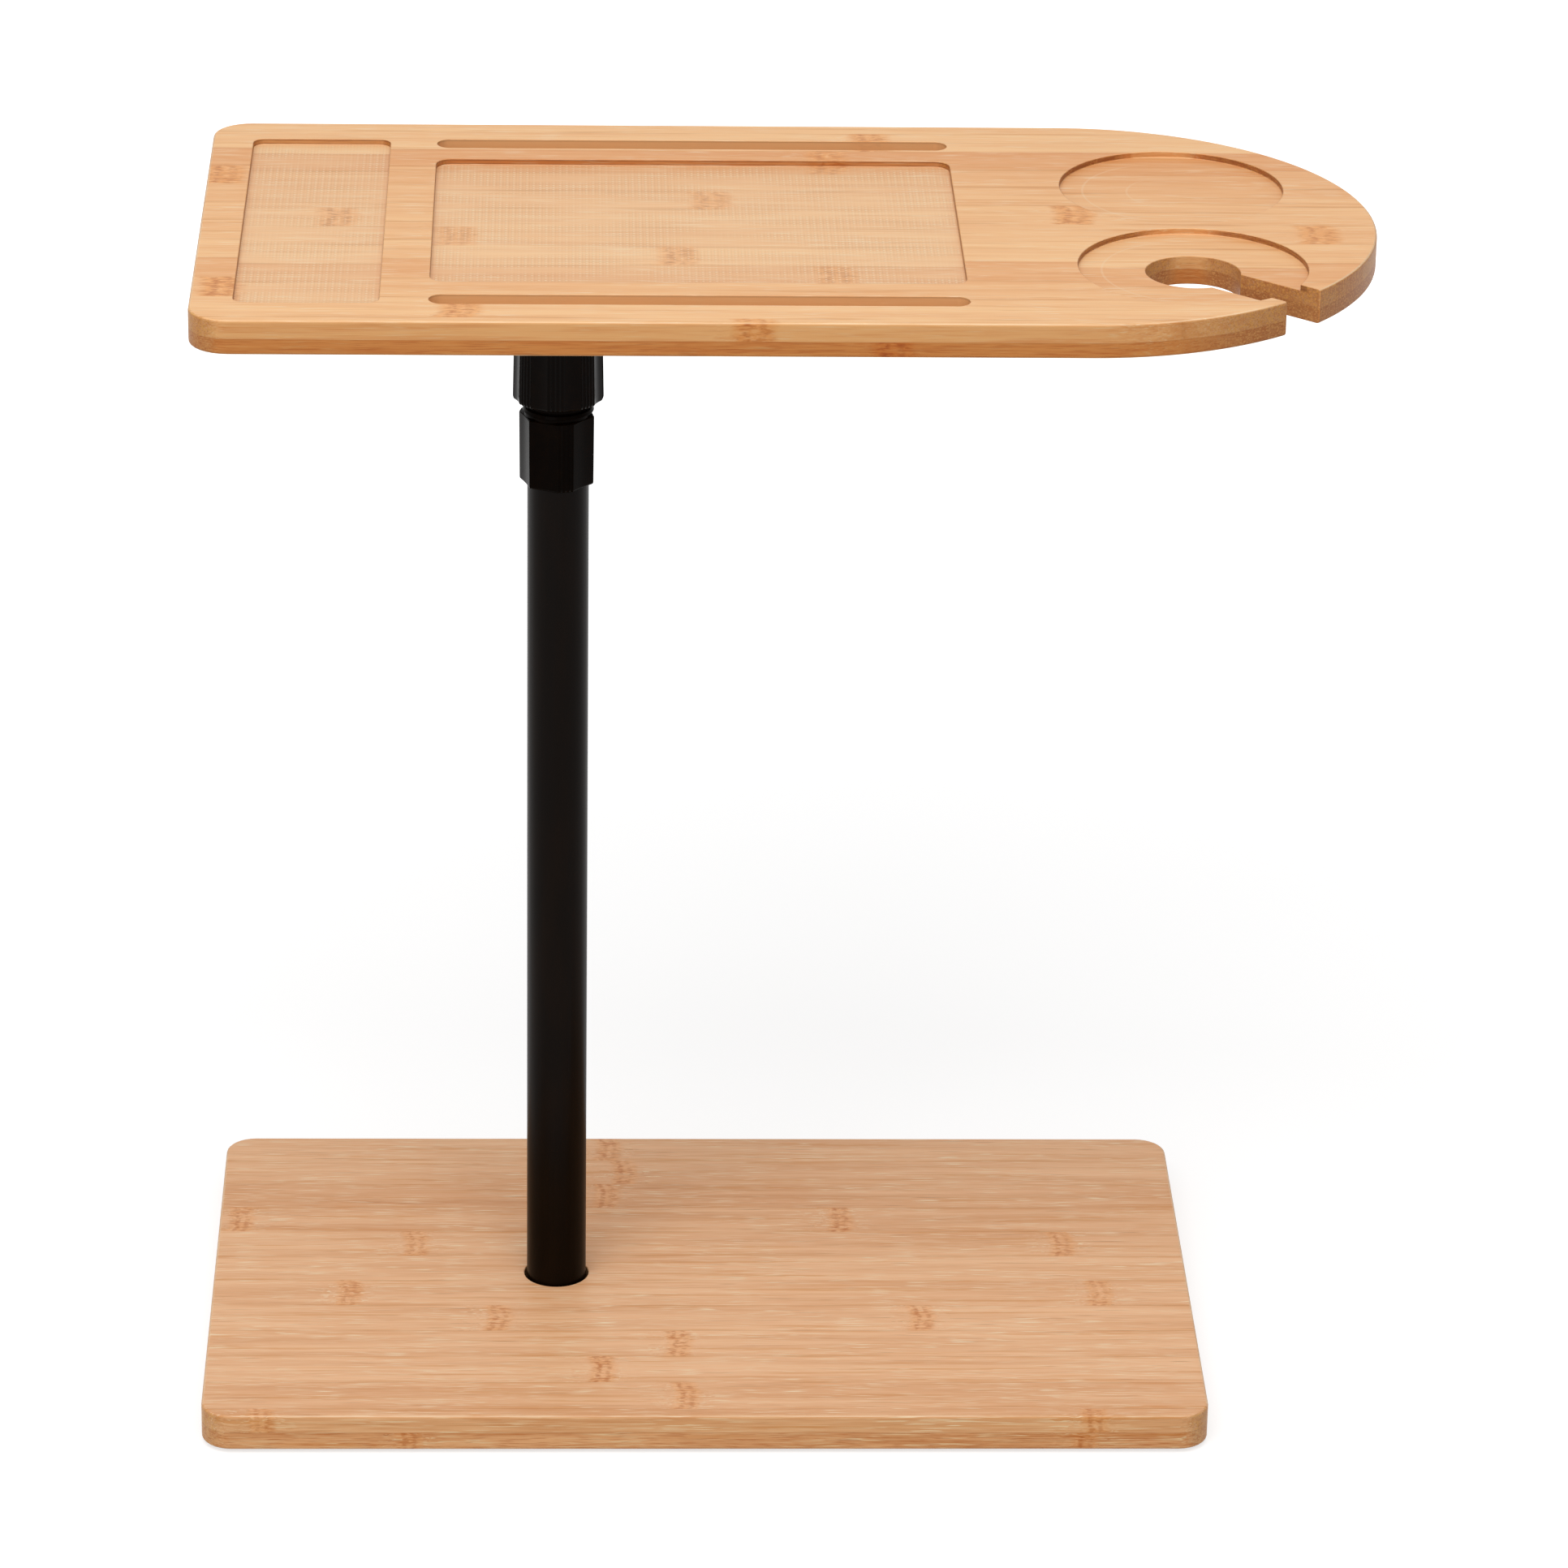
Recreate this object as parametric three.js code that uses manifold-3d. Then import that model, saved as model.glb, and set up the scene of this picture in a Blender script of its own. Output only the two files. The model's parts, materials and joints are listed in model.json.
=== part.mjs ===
// C-shaped side table: a bamboo foot board, a telescoping black pole set off-centre in it, and a bamboo
// top with device recesses, stand grooves and a glass keyhole. Millimetres, +Z up, floor at Z = 0.
// Every piece is placed from the pole's axis, and the whole is centred over its own footprint.
import * as THREE from 'three';
import { mergeVertices } from 'three/addons/utils/BufferGeometryUtils.js';
import Module from 'manifold-3d';

// Clearances between neighbouring pieces
const FIT_GAP = 0.3;
const STACK_GAP = 0.3;
const SOCKET_GAP = 1.4;

// Tabletop, lengths along X from its square end
const TOP_HEIGHT = 627;
const TOP_LENGTH = 600;
const TOP_DEPTH = 308;
const TOP_THICKNESS = 18;
const TOP_CORNER = 20;
const TOP_OVERHANG = 182;
const BOARD_EASE = 1.5;

// Recesses and grooves in the tabletop
const RECESS_DEPTH = 3;
const PHONE_START = 21.5;
const PHONE_WIDTH = 72;
const PHONE_LENGTH = 254;
const PHONE_CORNER = 6;
const TABLET_START = 118;
const TABLET_LENGTH = 268;
const TABLET_DEPTH = 191;
const TABLET_CORNER = 8;
const GROOVE_OFFSET = 121;
const GROOVE_WIDTH = 14;
const GROOVE_DEPTH = 10;
const CUP_RADIUS = 58;
const CUP_X = 499.5;
const CUP_Y = 56;
const GLASS_X = 501;
const GLASS_Y = -67;
const KEYHOLE_RADIUS = 24;
const KEYHOLE_SLOT_WIDTH = 25;
const KEYHOLE_SLOT_ANGLE = 40;

// Foot board
const FOOT_LENGTH = 530;
const FOOT_DEPTH = 325;
const FOOT_THICKNESS = 20;
const FOOT_CORNER = 16;
const FOOT_OVERHANG = 186;
const PAD_RADIUS = 15;
const PAD_THICKNESS = 2;
const PAD_INSET = 34;

// Tubes
const OUTER_RADIUS = 16;
const OUTER_WALL = 1.5;
const INNER_RADIUS = 12.5;
const INNER_WALL = 1.2;
const STEM_RADIUS = 11;
const STEM_WALL = 2;
const STEM_LENGTH = 75;

// Foot plate, its bolt and plug
const PLATE_RADIUS = 55;
const PLATE_THICKNESS = 5;
const PLATE_RECESS = 6;
const PLUG_LENGTH = 30;
const BOLT_RADIUS = 5;
const BOLT_LENGTH = 28;
const BOLT_HEAD_RADIUS = 9;
const BOLT_HEAD_HEIGHT = 4;
const HEX_RADIUS = 3.4;
const HEX_DEPTH = 3;
const HEX_SIDES = 6;

// Wood screws in both plates
const SCREW_RADIUS = 2;
const SCREW_LENGTH = 16;
const SCREW_HEAD_RADIUS = 4;
const SCREW_HEAD_HEIGHT = 2.4;
const SCREW_TIP = 3;
const SCREW_CIRCLE = 42;
const SCREW_COUNT = 4;
const FIRST_SCREW_ANGLE = 45;
const CROSS_LENGTH = 4.4;
const CROSS_WIDTH = 0.9;
const CROSS_DEPTH = 1.4;

// Head flange under the tabletop
const FLANGE_RADIUS = 55;
const FLANGE_THICKNESS = 5;
const BOSS_RADIUS = 16;
const BOSS_HEIGHT = 18;

// Threads, shown as square-shouldered rings
const THREAD_PITCH = 3.6;
const THREAD_HEIGHT = 1;
const THREAD_BASE = 1.5;
const THREAD_CREST = 0.7;
const THREAD_TURNS = 3;
const THREAD_ROOT_RADIUS = 16;

// Upper collar, which clamps the stem
const SWIVEL_RADIUS = 23.5;
const SWIVEL_TAPER = 1;
const SWIVEL_HEIGHT = 55.5;
const SWIVEL_GRIP = { groups: 8, groupAngle: 22, flutes: 4, lands: 1, sink: 0.95, phase: 42 };
const SWIVEL_COLLET_HEIGHT = 11;

// Lower collar, which clamps the inner tube
const LOCK_RADIUS = 19.85;
const LOCK_TAPER = 0.25;
const LOCK_HEIGHT = 39.4;
const LOCK_GRIP = { groups: 3, groupAngle: 25, flutes: 4, lands: 2, sink: 1.8, phase: 12.8 };
const LOCK_NECK_RADIUS = 17.6;
const LOCK_NECK_HEIGHT = 1.5;
const LOCK_COLLET_HEIGHT = 6.5;

// Grip pattern and edges shared by both collars. Phases are counted from the front, a land is a
// flat between two groups of flutes, and its sink is how far its middle lies below a full circle
const FLUTE_DEPTH = 0.5;
const COLLAR_CHAMFER = 0.4;
const COLLAR_ROUNDING = 0.8;
const FRONT_ANGLE = -90;

// Sleeves, collets and bush inside the pole
const RIM_RADIUS = 18.6;
const RIM_SLOPE = 0.8;
const RIM_HEIGHT = 2.1;
const RIM_GAP = 4;
const HEAD_SOCKET = 30;
const HEAD_SLEEVE_HEIGHT = 46;
const LOCK_SPIGOT_LENGTH = 30;
const LOCK_THREAD_HEIGHT = 12;
const COLLET_BASE_RADIUS = 15.4;
const COLLET_TIP_RADIUS = 14.3;
const COLLET_SLOT = 1.6;
const BUSH_LENGTH = 30;
const BUSH_FLOOR = 4;
const BUSH_CLEARANCE = 44;

// Facets of the round pieces
const FINE_SEGMENTS = 48;
const HIDDEN_SEGMENTS = 28;
const SCREW_SEGMENTS = 12;
const CORNER_STEPS = 8;
const END_STEPS = 80;
const RECESS_STEPS = 72;
const KEYHOLE_STEPS = 48;
const SMALL_CORNER_STEPS = 5;
const EASE_STEPS = 3;
const LAND_STEPS = 4;
const ROUNDING_STEPS = 2;
const CUT_MARGIN = 5;
const WELD_TOLERANCE = 1e-5;

// Heights worked out from the sizes above
const topUnderside = TOP_HEIGHT - TOP_THICKNESS;
const footUnderside = PAD_THICKNESS;
const plateSeat = footUnderside + PLATE_RECESS;
const bossEnd = topUnderside - FLANGE_THICKNESS - BOSS_HEIGHT;
const swivelTop = bossEnd - STACK_GAP;
const swivelBottom = swivelTop - SWIVEL_HEIGHT;
const rimTop = swivelBottom - RIM_GAP;
const rimBottom = rimTop - RIM_HEIGHT;
const innerTop = rimBottom + HEAD_SOCKET;
const headSleeveTop = rimBottom + HEAD_SLEEVE_HEIGHT;
const lockTop = rimBottom - STACK_GAP;
const lockBottom = lockTop - LOCK_HEIGHT;
const lockColletTop = lockTop - STACK_GAP;
const lockColletBottom = lockColletTop - LOCK_COLLET_HEIGHT;
const lockSleeveTop = lockColletBottom - STACK_GAP;
const lockSleeveShoulder = lockSleeveTop - LOCK_THREAD_HEIGHT;
const outerTop = lockSleeveShoulder - STACK_GAP;
const bushBottom = plateSeat + PLUG_LENGTH + BUSH_CLEARANCE;
const innerBottom = bushBottom + BUSH_FLOOR + STACK_GAP;

// Footprint, used to centre the table on its own middle
const reachLeft = Math.max(TOP_OVERHANG, FOOT_OVERHANG);
const reachRight = Math.max(TOP_LENGTH - TOP_OVERHANG, FOOT_LENGTH - FOOT_OVERHANG);
const poleX = (reachLeft - reachRight) / 2;

// Finishes
const BAMBOO_TOP = { color: 0xe3b584, roughness: 0.5, metalness: 0 };
const BAMBOO_FOOT = { color: 0xd9ab80, roughness: 0.52, metalness: 0 };
const BLACK_PAINT = { color: 0x14100d, roughness: 0.32, metalness: 0.2 };
const BLACK_PLASTIC = { color: 0x100d0b, roughness: 0.28, metalness: 0 };
const WHITE_PLASTIC = { color: 0xd8d6cf, roughness: 0.45, metalness: 0 };
const ZINC_STEEL = { color: 0xb9bbbd, roughness: 0.35, metalness: 0.9 };
const RUBBER = { color: 0x1c1c1c, roughness: 0.85, metalness: 0 };

const wasm = await Module();
wasm.setup();

const degrees = THREE.MathUtils.degToRad;

// Only positions, shared corners merged, and triangles of no area left out
function welded(geometry) {
  geometry.deleteAttribute('normal');
  geometry.deleteAttribute('uv');
  const merged = mergeVertices(geometry, WELD_TOLERANCE);
  const corners = merged.index.array;
  const kept = [];
  for (let i = 0; i < corners.length; i += 3) {
    const [a, b, c] = [corners[i], corners[i + 1], corners[i + 2]];
    if (a !== b && b !== c && c !== a) {
      kept.push(a, b, c);
    }
  }
  merged.setIndex(kept);
  return merged;
}

function solid(geometry) {
  const merged = welded(geometry);
  const mesh = new wasm.Mesh({
    numProp: 3,
    vertProperties: new Float32Array(merged.attributes.position.array),
    triVerts: new Uint32Array(merged.index.array),
  });
  return new wasm.Manifold(mesh);
}

function surface(body) {
  const mesh = body.getMesh();
  const geometry = new THREE.BufferGeometry();
  geometry.setAttribute('position', new THREE.BufferAttribute(mesh.vertProperties, 3));
  geometry.setIndex(new THREE.BufferAttribute(mesh.triVerts, 1));
  geometry.computeVertexNormals();
  return geometry;
}

// Points of an arc about (x, y), from one angle to another, both in degrees
function arc(x, y, radius, from, to, steps) {
  const points = [];
  for (let i = 0; i <= steps; i += 1) {
    const angle = degrees(from + ((to - from) * i) / steps);
    points.push(new THREE.Vector2(x + radius * Math.cos(angle), y + radius * Math.sin(angle)));
  }
  return points;
}

// Outline of a rectangle from (left, low) to (right, high) with four round corners
function roundedRectangle(left, right, low, high, radius, steps) {
  return [
    ...arc(left + radius, low + radius, radius, 180, 270, steps),
    ...arc(right - radius, low + radius, radius, 270, 360, steps),
    ...arc(right - radius, high - radius, radius, 0, 90, steps),
    ...arc(left + radius, high - radius, radius, 90, 180, steps),
  ];
}

// Outline of the tabletop: round corners at the square end, a half circle at the other
function tabletopOutline() {
  const half = TOP_DEPTH / 2;
  const endCentre = TOP_LENGTH - half;
  return [
    ...arc(TOP_CORNER, TOP_CORNER - half, TOP_CORNER, 180, 270, CORNER_STEPS),
    ...arc(endCentre, 0, half, -90, 90, END_STEPS),
    ...arc(TOP_CORNER, half - TOP_CORNER, TOP_CORNER, 90, 180, CORNER_STEPS),
  ];
}

function prism(outline, bottom, top) {
  const shape = new THREE.Shape(outline);
  const geometry = new THREE.ExtrudeGeometry(shape, { depth: top - bottom, bevelEnabled: false });
  return geometry.translate(0, 0, bottom);
}

// A board with its underside at local Z = 0 and both edges eased
function board(outline, thickness) {
  const geometry = new THREE.ExtrudeGeometry(new THREE.Shape(outline), {
    depth: thickness - 2 * BOARD_EASE,
    bevelThickness: BOARD_EASE,
    bevelSize: BOARD_EASE,
    bevelOffset: -BOARD_EASE,
    bevelSegments: EASE_STEPS,
  });
  return geometry.translate(0, 0, BOARD_EASE);
}

// A solid of revolution about Z from [radius, height] pairs, listed upwards on the outside
function turned(profile, segments) {
  const points = profile.map(([radius, height]) => new THREE.Vector2(radius, height));
  return new THREE.LatheGeometry(points, segments).rotateX(Math.PI / 2);
}

// A turned ring, whose profile closes on itself
function turnedRing(profile, segments) {
  return turned([...profile, profile[0]], segments);
}

function rod(radius, bottom, top, segments) {
  return turned([[0, bottom], [radius, bottom], [radius, top], [0, top]], segments);
}

function tube(outer, inner, bottom, top, segments) {
  return turnedRing([[inner, bottom], [outer, bottom], [outer, top], [inner, top]], segments);
}

// Profile points of thread rings that stand out from a root radius by a signed height, going upwards
function threadRings(root, height, start, count) {
  const points = [];
  for (let turn = 0; turn < count; turn += 1) {
    const centre = start + turn * THREAD_PITCH;
    points.push([root, centre - THREAD_BASE / 2]);
    points.push([root + height, centre - THREAD_CREST / 2]);
    points.push([root + height, centre + THREAD_CREST / 2]);
    points.push([root, centre + THREAD_BASE / 2]);
  }
  return points;
}

// Outline of a grip collar: groups of fine flutes with flattened lands between them
function gripOutline(radius, { groups, groupAngle, flutes, lands, sink, phase }) {
  const points = [];
  const polar = (distance, angle) => {
    const turn = degrees(angle);
    points.push(new THREE.Vector2(distance * Math.cos(turn), distance * Math.sin(turn)));
  };
  const fluteAngle = groupAngle / flutes;
  const landAngle = (360 / groups - groupAngle) / lands;
  for (let group = 0; group < groups; group += 1) {
    const start = FRONT_ANGLE + phase + (group * 360) / groups - groupAngle / 2;
    for (let flute = 0; flute < flutes; flute += 1) {
      polar(radius, start + flute * fluteAngle);
      polar(radius - FLUTE_DEPTH, start + (flute + 0.5) * fluteAngle);
    }
    for (let step = 0; step < LAND_STEPS * lands; step += 1) {
      const along = step / LAND_STEPS;
      const share = along % 1;
      const depth = 4 * sink * share * (1 - share);
      polar(radius - depth, start + groupAngle + landAngle * along);
    }
  }
  return points;
}

// A collar body from its outline, drawn in by an inset at each [height, inset] level
function gripBody(outline, levels) {
  const steps = levels.length - 1;
  const shape = new THREE.Shape(outline);
  const geometry = new THREE.ExtrudeGeometry(shape, { depth: steps, steps, bevelEnabled: false });
  const position = geometry.attributes.position;
  for (let i = 0; i < position.count; i += 1) {
    const [height, inset] = levels[Math.round(position.getZ(i))];
    const x = position.getX(i);
    const y = position.getY(i);
    const scale = 1 - inset / Math.hypot(x, y);
    position.setXYZ(i, x * scale, y * scale, height);
  }
  return geometry;
}

// Levels of a collar that has a small quarter-round at its foot and a chamfer at its tapered head
function collarLevels(height, taper) {
  const levels = [];
  for (let i = 0; i <= ROUNDING_STEPS; i += 1) {
    const angle = (Math.PI / 2) * (1 - i / ROUNDING_STEPS);
    levels.push([COLLAR_ROUNDING * (1 - Math.sin(angle)), COLLAR_ROUNDING * (1 - Math.cos(angle))]);
  }
  levels.push([height - COLLAR_CHAMFER, taper]);
  levels.push([height, taper + COLLAR_CHAMFER]);
  return levels;
}

// A countersunk wood screw pointing up, its head's face at local Z = 0
function woodScrew() {
  const shank = turned([
    [0, 0],
    [SCREW_HEAD_RADIUS, 0],
    [SCREW_RADIUS, SCREW_HEAD_HEIGHT],
    [SCREW_RADIUS, SCREW_LENGTH - SCREW_TIP],
    [0, SCREW_LENGTH],
  ], SCREW_SEGMENTS);
  const barX = new THREE.BoxGeometry(CROSS_LENGTH, CROSS_WIDTH, 2 * CROSS_DEPTH);
  const barY = new THREE.BoxGeometry(CROSS_WIDTH, CROSS_LENGTH, 2 * CROSS_DEPTH);
  return surface(solid(shank).subtract(solid(barX)).subtract(solid(barY)));
}

// The space that a screw needs in a plate and in the wood behind it
function screwSpace() {
  return turned([
    [0, -CUT_MARGIN],
    [SCREW_HEAD_RADIUS + FIT_GAP, -CUT_MARGIN],
    [SCREW_HEAD_RADIUS + FIT_GAP, FIT_GAP],
    [SCREW_RADIUS + FIT_GAP, SCREW_HEAD_HEIGHT + FIT_GAP],
    [SCREW_RADIUS + FIT_GAP, SCREW_LENGTH + FIT_GAP],
    [0, SCREW_LENGTH + FIT_GAP],
  ], SCREW_SEGMENTS);
}

// Places on the screw circle, the same in both plates
function screwPlaces() {
  const places = [];
  for (let i = 0; i < SCREW_COUNT; i += 1) {
    const angle = degrees(FIRST_SCREW_ANGLE + (360 * i) / SCREW_COUNT);
    places.push([SCREW_CIRCLE * Math.cos(angle), SCREW_CIRCLE * Math.sin(angle)]);
  }
  return places;
}

// Cuts the screw spaces into a body whose screws have their heads' faces at the given height
function withScrewHoles(body, headHeight) {
  let result = body;
  for (const [x, y] of screwPlaces()) {
    result = result.subtract(solid(screwSpace().translate(x, y, headHeight)));
  }
  return result;
}

// The tabletop, underside at local Z = 0, square end at local X = 0
function tabletop() {
  const recess = TOP_THICKNESS - RECESS_DEPTH;
  const above = TOP_THICKNESS + CUT_MARGIN;
  const tabletEnd = TABLET_START + TABLET_LENGTH;
  const phone = roundedRectangle(
    PHONE_START, PHONE_START + PHONE_WIDTH, -PHONE_LENGTH / 2, PHONE_LENGTH / 2,
    PHONE_CORNER, SMALL_CORNER_STEPS,
  );
  const tablet = roundedRectangle(
    TABLET_START, tabletEnd, -TABLET_DEPTH / 2, TABLET_DEPTH / 2,
    TABLET_CORNER, SMALL_CORNER_STEPS,
  );
  const cuts = [
    prism(phone, recess, above),
    prism(tablet, recess, above),
    rod(CUP_RADIUS, recess, above, RECESS_STEPS).translate(CUP_X, CUP_Y, 0),
    rod(CUP_RADIUS, recess, above, RECESS_STEPS).translate(GLASS_X, GLASS_Y, 0),
    rod(KEYHOLE_RADIUS, -CUT_MARGIN, above, KEYHOLE_STEPS).translate(GLASS_X, GLASS_Y, 0),
    keyholeSlot(above),
  ];
  for (const side of [-1, 1]) {
    const middle = side * GROOVE_OFFSET;
    const groove = roundedRectangle(
      TABLET_START, tabletEnd, middle - GROOVE_WIDTH / 2, middle + GROOVE_WIDTH / 2,
      GROOVE_WIDTH / 2, CORNER_STEPS,
    );
    cuts.push(prism(groove, TOP_THICKNESS - GROOVE_DEPTH, above));
  }
  let body = solid(board(tabletopOutline(), TOP_THICKNESS));
  for (const cut of cuts) {
    body = body.subtract(solid(cut));
  }
  body = withScrewHoles(body.translate([-TOP_OVERHANG, 0, 0]), -FLANGE_THICKNESS);
  return surface(body);
}

// The slanting way from the keyhole out through the round end
function keyholeSlot(above) {
  const slot = new THREE.BoxGeometry(TOP_DEPTH, KEYHOLE_SLOT_WIDTH, above + CUT_MARGIN);
  slot.translate(TOP_DEPTH / 2, 0, (above - CUT_MARGIN) / 2);
  slot.rotateZ(degrees(-KEYHOLE_SLOT_ANGLE));
  return slot.translate(GLASS_X, GLASS_Y, 0);
}

// The foot board, underside at local Z = 0, with the pole's socket and the plate's recess
function footBoard() {
  const half = FOOT_DEPTH / 2;
  const outline = roundedRectangle(
    -FOOT_OVERHANG, FOOT_LENGTH - FOOT_OVERHANG, -half, half, FOOT_CORNER, CORNER_STEPS,
  );
  const above = FOOT_THICKNESS + CUT_MARGIN;
  const socket = rod(OUTER_RADIUS + SOCKET_GAP, 0, above, FINE_SEGMENTS);
  const recess = rod(PLATE_RADIUS + FIT_GAP, -CUT_MARGIN, PLATE_RECESS, FINE_SEGMENTS);
  const body = solid(board(outline, FOOT_THICKNESS)).subtract(solid(socket)).subtract(solid(recess));
  return surface(withScrewHoles(body, PLATE_RECESS - PLATE_THICKNESS));
}

// The foot plate, its top face at local Z = 0
function footPlate() {
  const disc = rod(PLATE_RADIUS, -PLATE_THICKNESS, 0, FINE_SEGMENTS);
  const sink = turned([
    [0, -PLATE_THICKNESS - CUT_MARGIN],
    [BOLT_HEAD_RADIUS + FIT_GAP, -PLATE_THICKNESS - CUT_MARGIN],
    [BOLT_HEAD_RADIUS + FIT_GAP, -PLATE_THICKNESS + FIT_GAP],
    [BOLT_RADIUS + FIT_GAP, BOLT_HEAD_HEIGHT - PLATE_THICKNESS + FIT_GAP],
    [BOLT_RADIUS + FIT_GAP, CUT_MARGIN],
    [0, CUT_MARGIN],
  ], HIDDEN_SEGMENTS);
  return surface(withScrewHoles(solid(disc).subtract(solid(sink)), -PLATE_THICKNESS));
}

// The countersunk bolt, head's face at local Z = 0, with its hexagon socket
function footBolt() {
  const body = turned([
    [0, 0],
    [BOLT_HEAD_RADIUS, 0],
    [BOLT_RADIUS, BOLT_HEAD_HEIGHT],
    [BOLT_RADIUS, BOLT_LENGTH],
    [0, BOLT_LENGTH],
  ], HIDDEN_SEGMENTS);
  const socket = rod(HEX_RADIUS, -CUT_MARGIN, HEX_DEPTH, HEX_SIDES);
  return surface(solid(body).subtract(solid(socket)));
}

// The threaded plug in the pole's foot, foot at local Z = 0, its blind hole open below
function tubePlug() {
  const hole = BOLT_RADIUS + FIT_GAP;
  const holeTop = BOLT_LENGTH - PLATE_THICKNESS + FIT_GAP;
  const plug = OUTER_RADIUS - OUTER_WALL - FIT_GAP;
  return turned([
    [0, holeTop],
    [hole, holeTop],
    [hole, 0],
    [plug, 0],
    [plug, PLUG_LENGTH],
    [0, PLUG_LENGTH],
  ], HIDDEN_SEGMENTS);
}

// The bush, a cup that the inner tube's end stands in, rim at local Z = BUSH_LENGTH
function guideBush() {
  const outer = OUTER_RADIUS - OUTER_WALL - FIT_GAP;
  const inner = INNER_RADIUS + FIT_GAP;
  return turned([
    [0, 0],
    [outer, 0],
    [outer, BUSH_LENGTH],
    [inner, BUSH_LENGTH],
    [inner, BUSH_FLOOR],
    [0, BUSH_FLOOR],
  ], HIDDEN_SEGMENTS);
}

// The threaded sleeve in the head of the outer tube, its shoulder at local Z = 0
function lockSleeve() {
  const bore = INNER_RADIUS + FIT_GAP;
  const spigot = OUTER_RADIUS - OUTER_WALL - FIT_GAP;
  const firstRing = LOCK_THREAD_HEIGHT / 2 - ((THREAD_TURNS - 1) / 2) * THREAD_PITCH;
  return turnedRing([
    [bore, -LOCK_SPIGOT_LENGTH],
    [spigot, -LOCK_SPIGOT_LENGTH],
    [spigot, 0],
    [THREAD_ROOT_RADIUS, 0],
    ...threadRings(THREAD_ROOT_RADIUS, THREAD_HEIGHT, firstRing, THREAD_TURNS),
    [THREAD_ROOT_RADIUS, LOCK_THREAD_HEIGHT],
    [bore, LOCK_THREAD_HEIGHT],
  ], HIDDEN_SEGMENTS);
}

// A split cone, base at local Z = 0
function collet(bore, height) {
  const cone = turnedRing([
    [bore, 0],
    [COLLET_BASE_RADIUS, 0],
    [COLLET_TIP_RADIUS, height],
    [bore, height],
  ], HIDDEN_SEGMENTS);
  const slot = new THREE.BoxGeometry(2 * COLLET_BASE_RADIUS, COLLET_SLOT, 4 * height);
  slot.translate(COLLET_BASE_RADIUS, 0, 0);
  return surface(solid(cone).subtract(solid(slot)));
}

// The lower collar, foot at local Z = 0: bore over the tube, thread rings, then the collet's cone
function heightLockNut() {
  const outline = gripOutline(LOCK_RADIUS, LOCK_GRIP);
  const bodyHeight = LOCK_HEIGHT - LOCK_NECK_HEIGHT;
  const levels = collarLevels(bodyHeight, -LOCK_TAPER);
  const neck = rod(LOCK_NECK_RADIUS, bodyHeight / 2, LOCK_HEIGHT, FINE_SEGMENTS);
  const root = THREAD_ROOT_RADIUS + THREAD_HEIGHT + FIT_GAP;
  const threadStart = lockSleeveShoulder - lockBottom - FIT_GAP;
  const threadEnd = lockSleeveTop - lockBottom;
  const middle = lockSleeveShoulder + LOCK_THREAD_HEIGHT / 2 - lockBottom;
  const firstRing = middle - ((THREAD_TURNS - 2) / 2) * THREAD_PITCH;
  const coneStart = lockColletBottom - lockBottom;
  const bore = turned([
    [0, -CUT_MARGIN],
    [OUTER_RADIUS + FIT_GAP, -CUT_MARGIN],
    [OUTER_RADIUS + FIT_GAP, threadStart],
    [root, threadStart],
    ...nutRings(root, firstRing),
    [root, threadEnd],
    [COLLET_BASE_RADIUS + FIT_GAP, coneStart],
    [COLLET_TIP_RADIUS + FIT_GAP, LOCK_HEIGHT],
    [COLLET_TIP_RADIUS + FIT_GAP, LOCK_HEIGHT + CUT_MARGIN],
    [0, LOCK_HEIGHT + CUT_MARGIN],
  ], HIDDEN_SEGMENTS);
  return surface(solid(gripBody(outline, levels)).add(solid(neck)).subtract(solid(bore)));
}

// Rings of a nut's thread, which stand in the gaps between the sleeve's rings
function nutRings(root, firstRing) {
  return threadRings(root, FIT_GAP - THREAD_HEIGHT, firstRing, THREAD_TURNS - 1);
}

// The sleeve on the inner tube's head: a rim that shows, a threaded neck and a bore for the stem
function headSleeve() {
  const socket = INNER_RADIUS + FIT_GAP;
  const bore = STEM_RADIUS + FIT_GAP;
  const shoulder = HEAD_SOCKET + STACK_GAP;
  const firstRing = RIM_HEIGHT + RIM_GAP + THREAD_PITCH;
  return turnedRing([
    [socket, 0],
    [RIM_RADIUS, 0],
    [RIM_RADIUS - RIM_SLOPE, RIM_HEIGHT],
    [THREAD_ROOT_RADIUS, RIM_HEIGHT],
    ...threadRings(THREAD_ROOT_RADIUS, THREAD_HEIGHT, firstRing, THREAD_TURNS),
    [THREAD_ROOT_RADIUS, HEAD_SLEEVE_HEIGHT],
    [bore, HEAD_SLEEVE_HEIGHT],
    [bore, shoulder],
    [socket, shoulder],
  ], FINE_SEGMENTS);
}

// The upper collar, foot at local Z = 0
function swivelLockNut() {
  const outline = gripOutline(SWIVEL_RADIUS, SWIVEL_GRIP);
  const levels = collarLevels(SWIVEL_HEIGHT, SWIVEL_TAPER);
  const root = THREAD_ROOT_RADIUS + THREAD_HEIGHT + FIT_GAP;
  const firstRing = THREAD_PITCH * 1.5;
  const colletStart = headSleeveTop + STACK_GAP - swivelBottom;
  const colletEnd = colletStart + SWIVEL_COLLET_HEIGHT + STACK_GAP;
  const bore = turned([
    [0, -CUT_MARGIN],
    [root, -CUT_MARGIN],
    ...nutRings(root, firstRing),
    [root, colletStart - STACK_GAP],
    [COLLET_BASE_RADIUS + FIT_GAP, colletStart],
    [COLLET_TIP_RADIUS + FIT_GAP, colletEnd],
    [STEM_RADIUS + 2 * FIT_GAP, colletEnd],
    [STEM_RADIUS + 2 * FIT_GAP, SWIVEL_HEIGHT + CUT_MARGIN],
    [0, SWIVEL_HEIGHT + CUT_MARGIN],
  ], HIDDEN_SEGMENTS);
  return surface(solid(gripBody(outline, levels)).subtract(solid(bore)));
}

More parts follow.
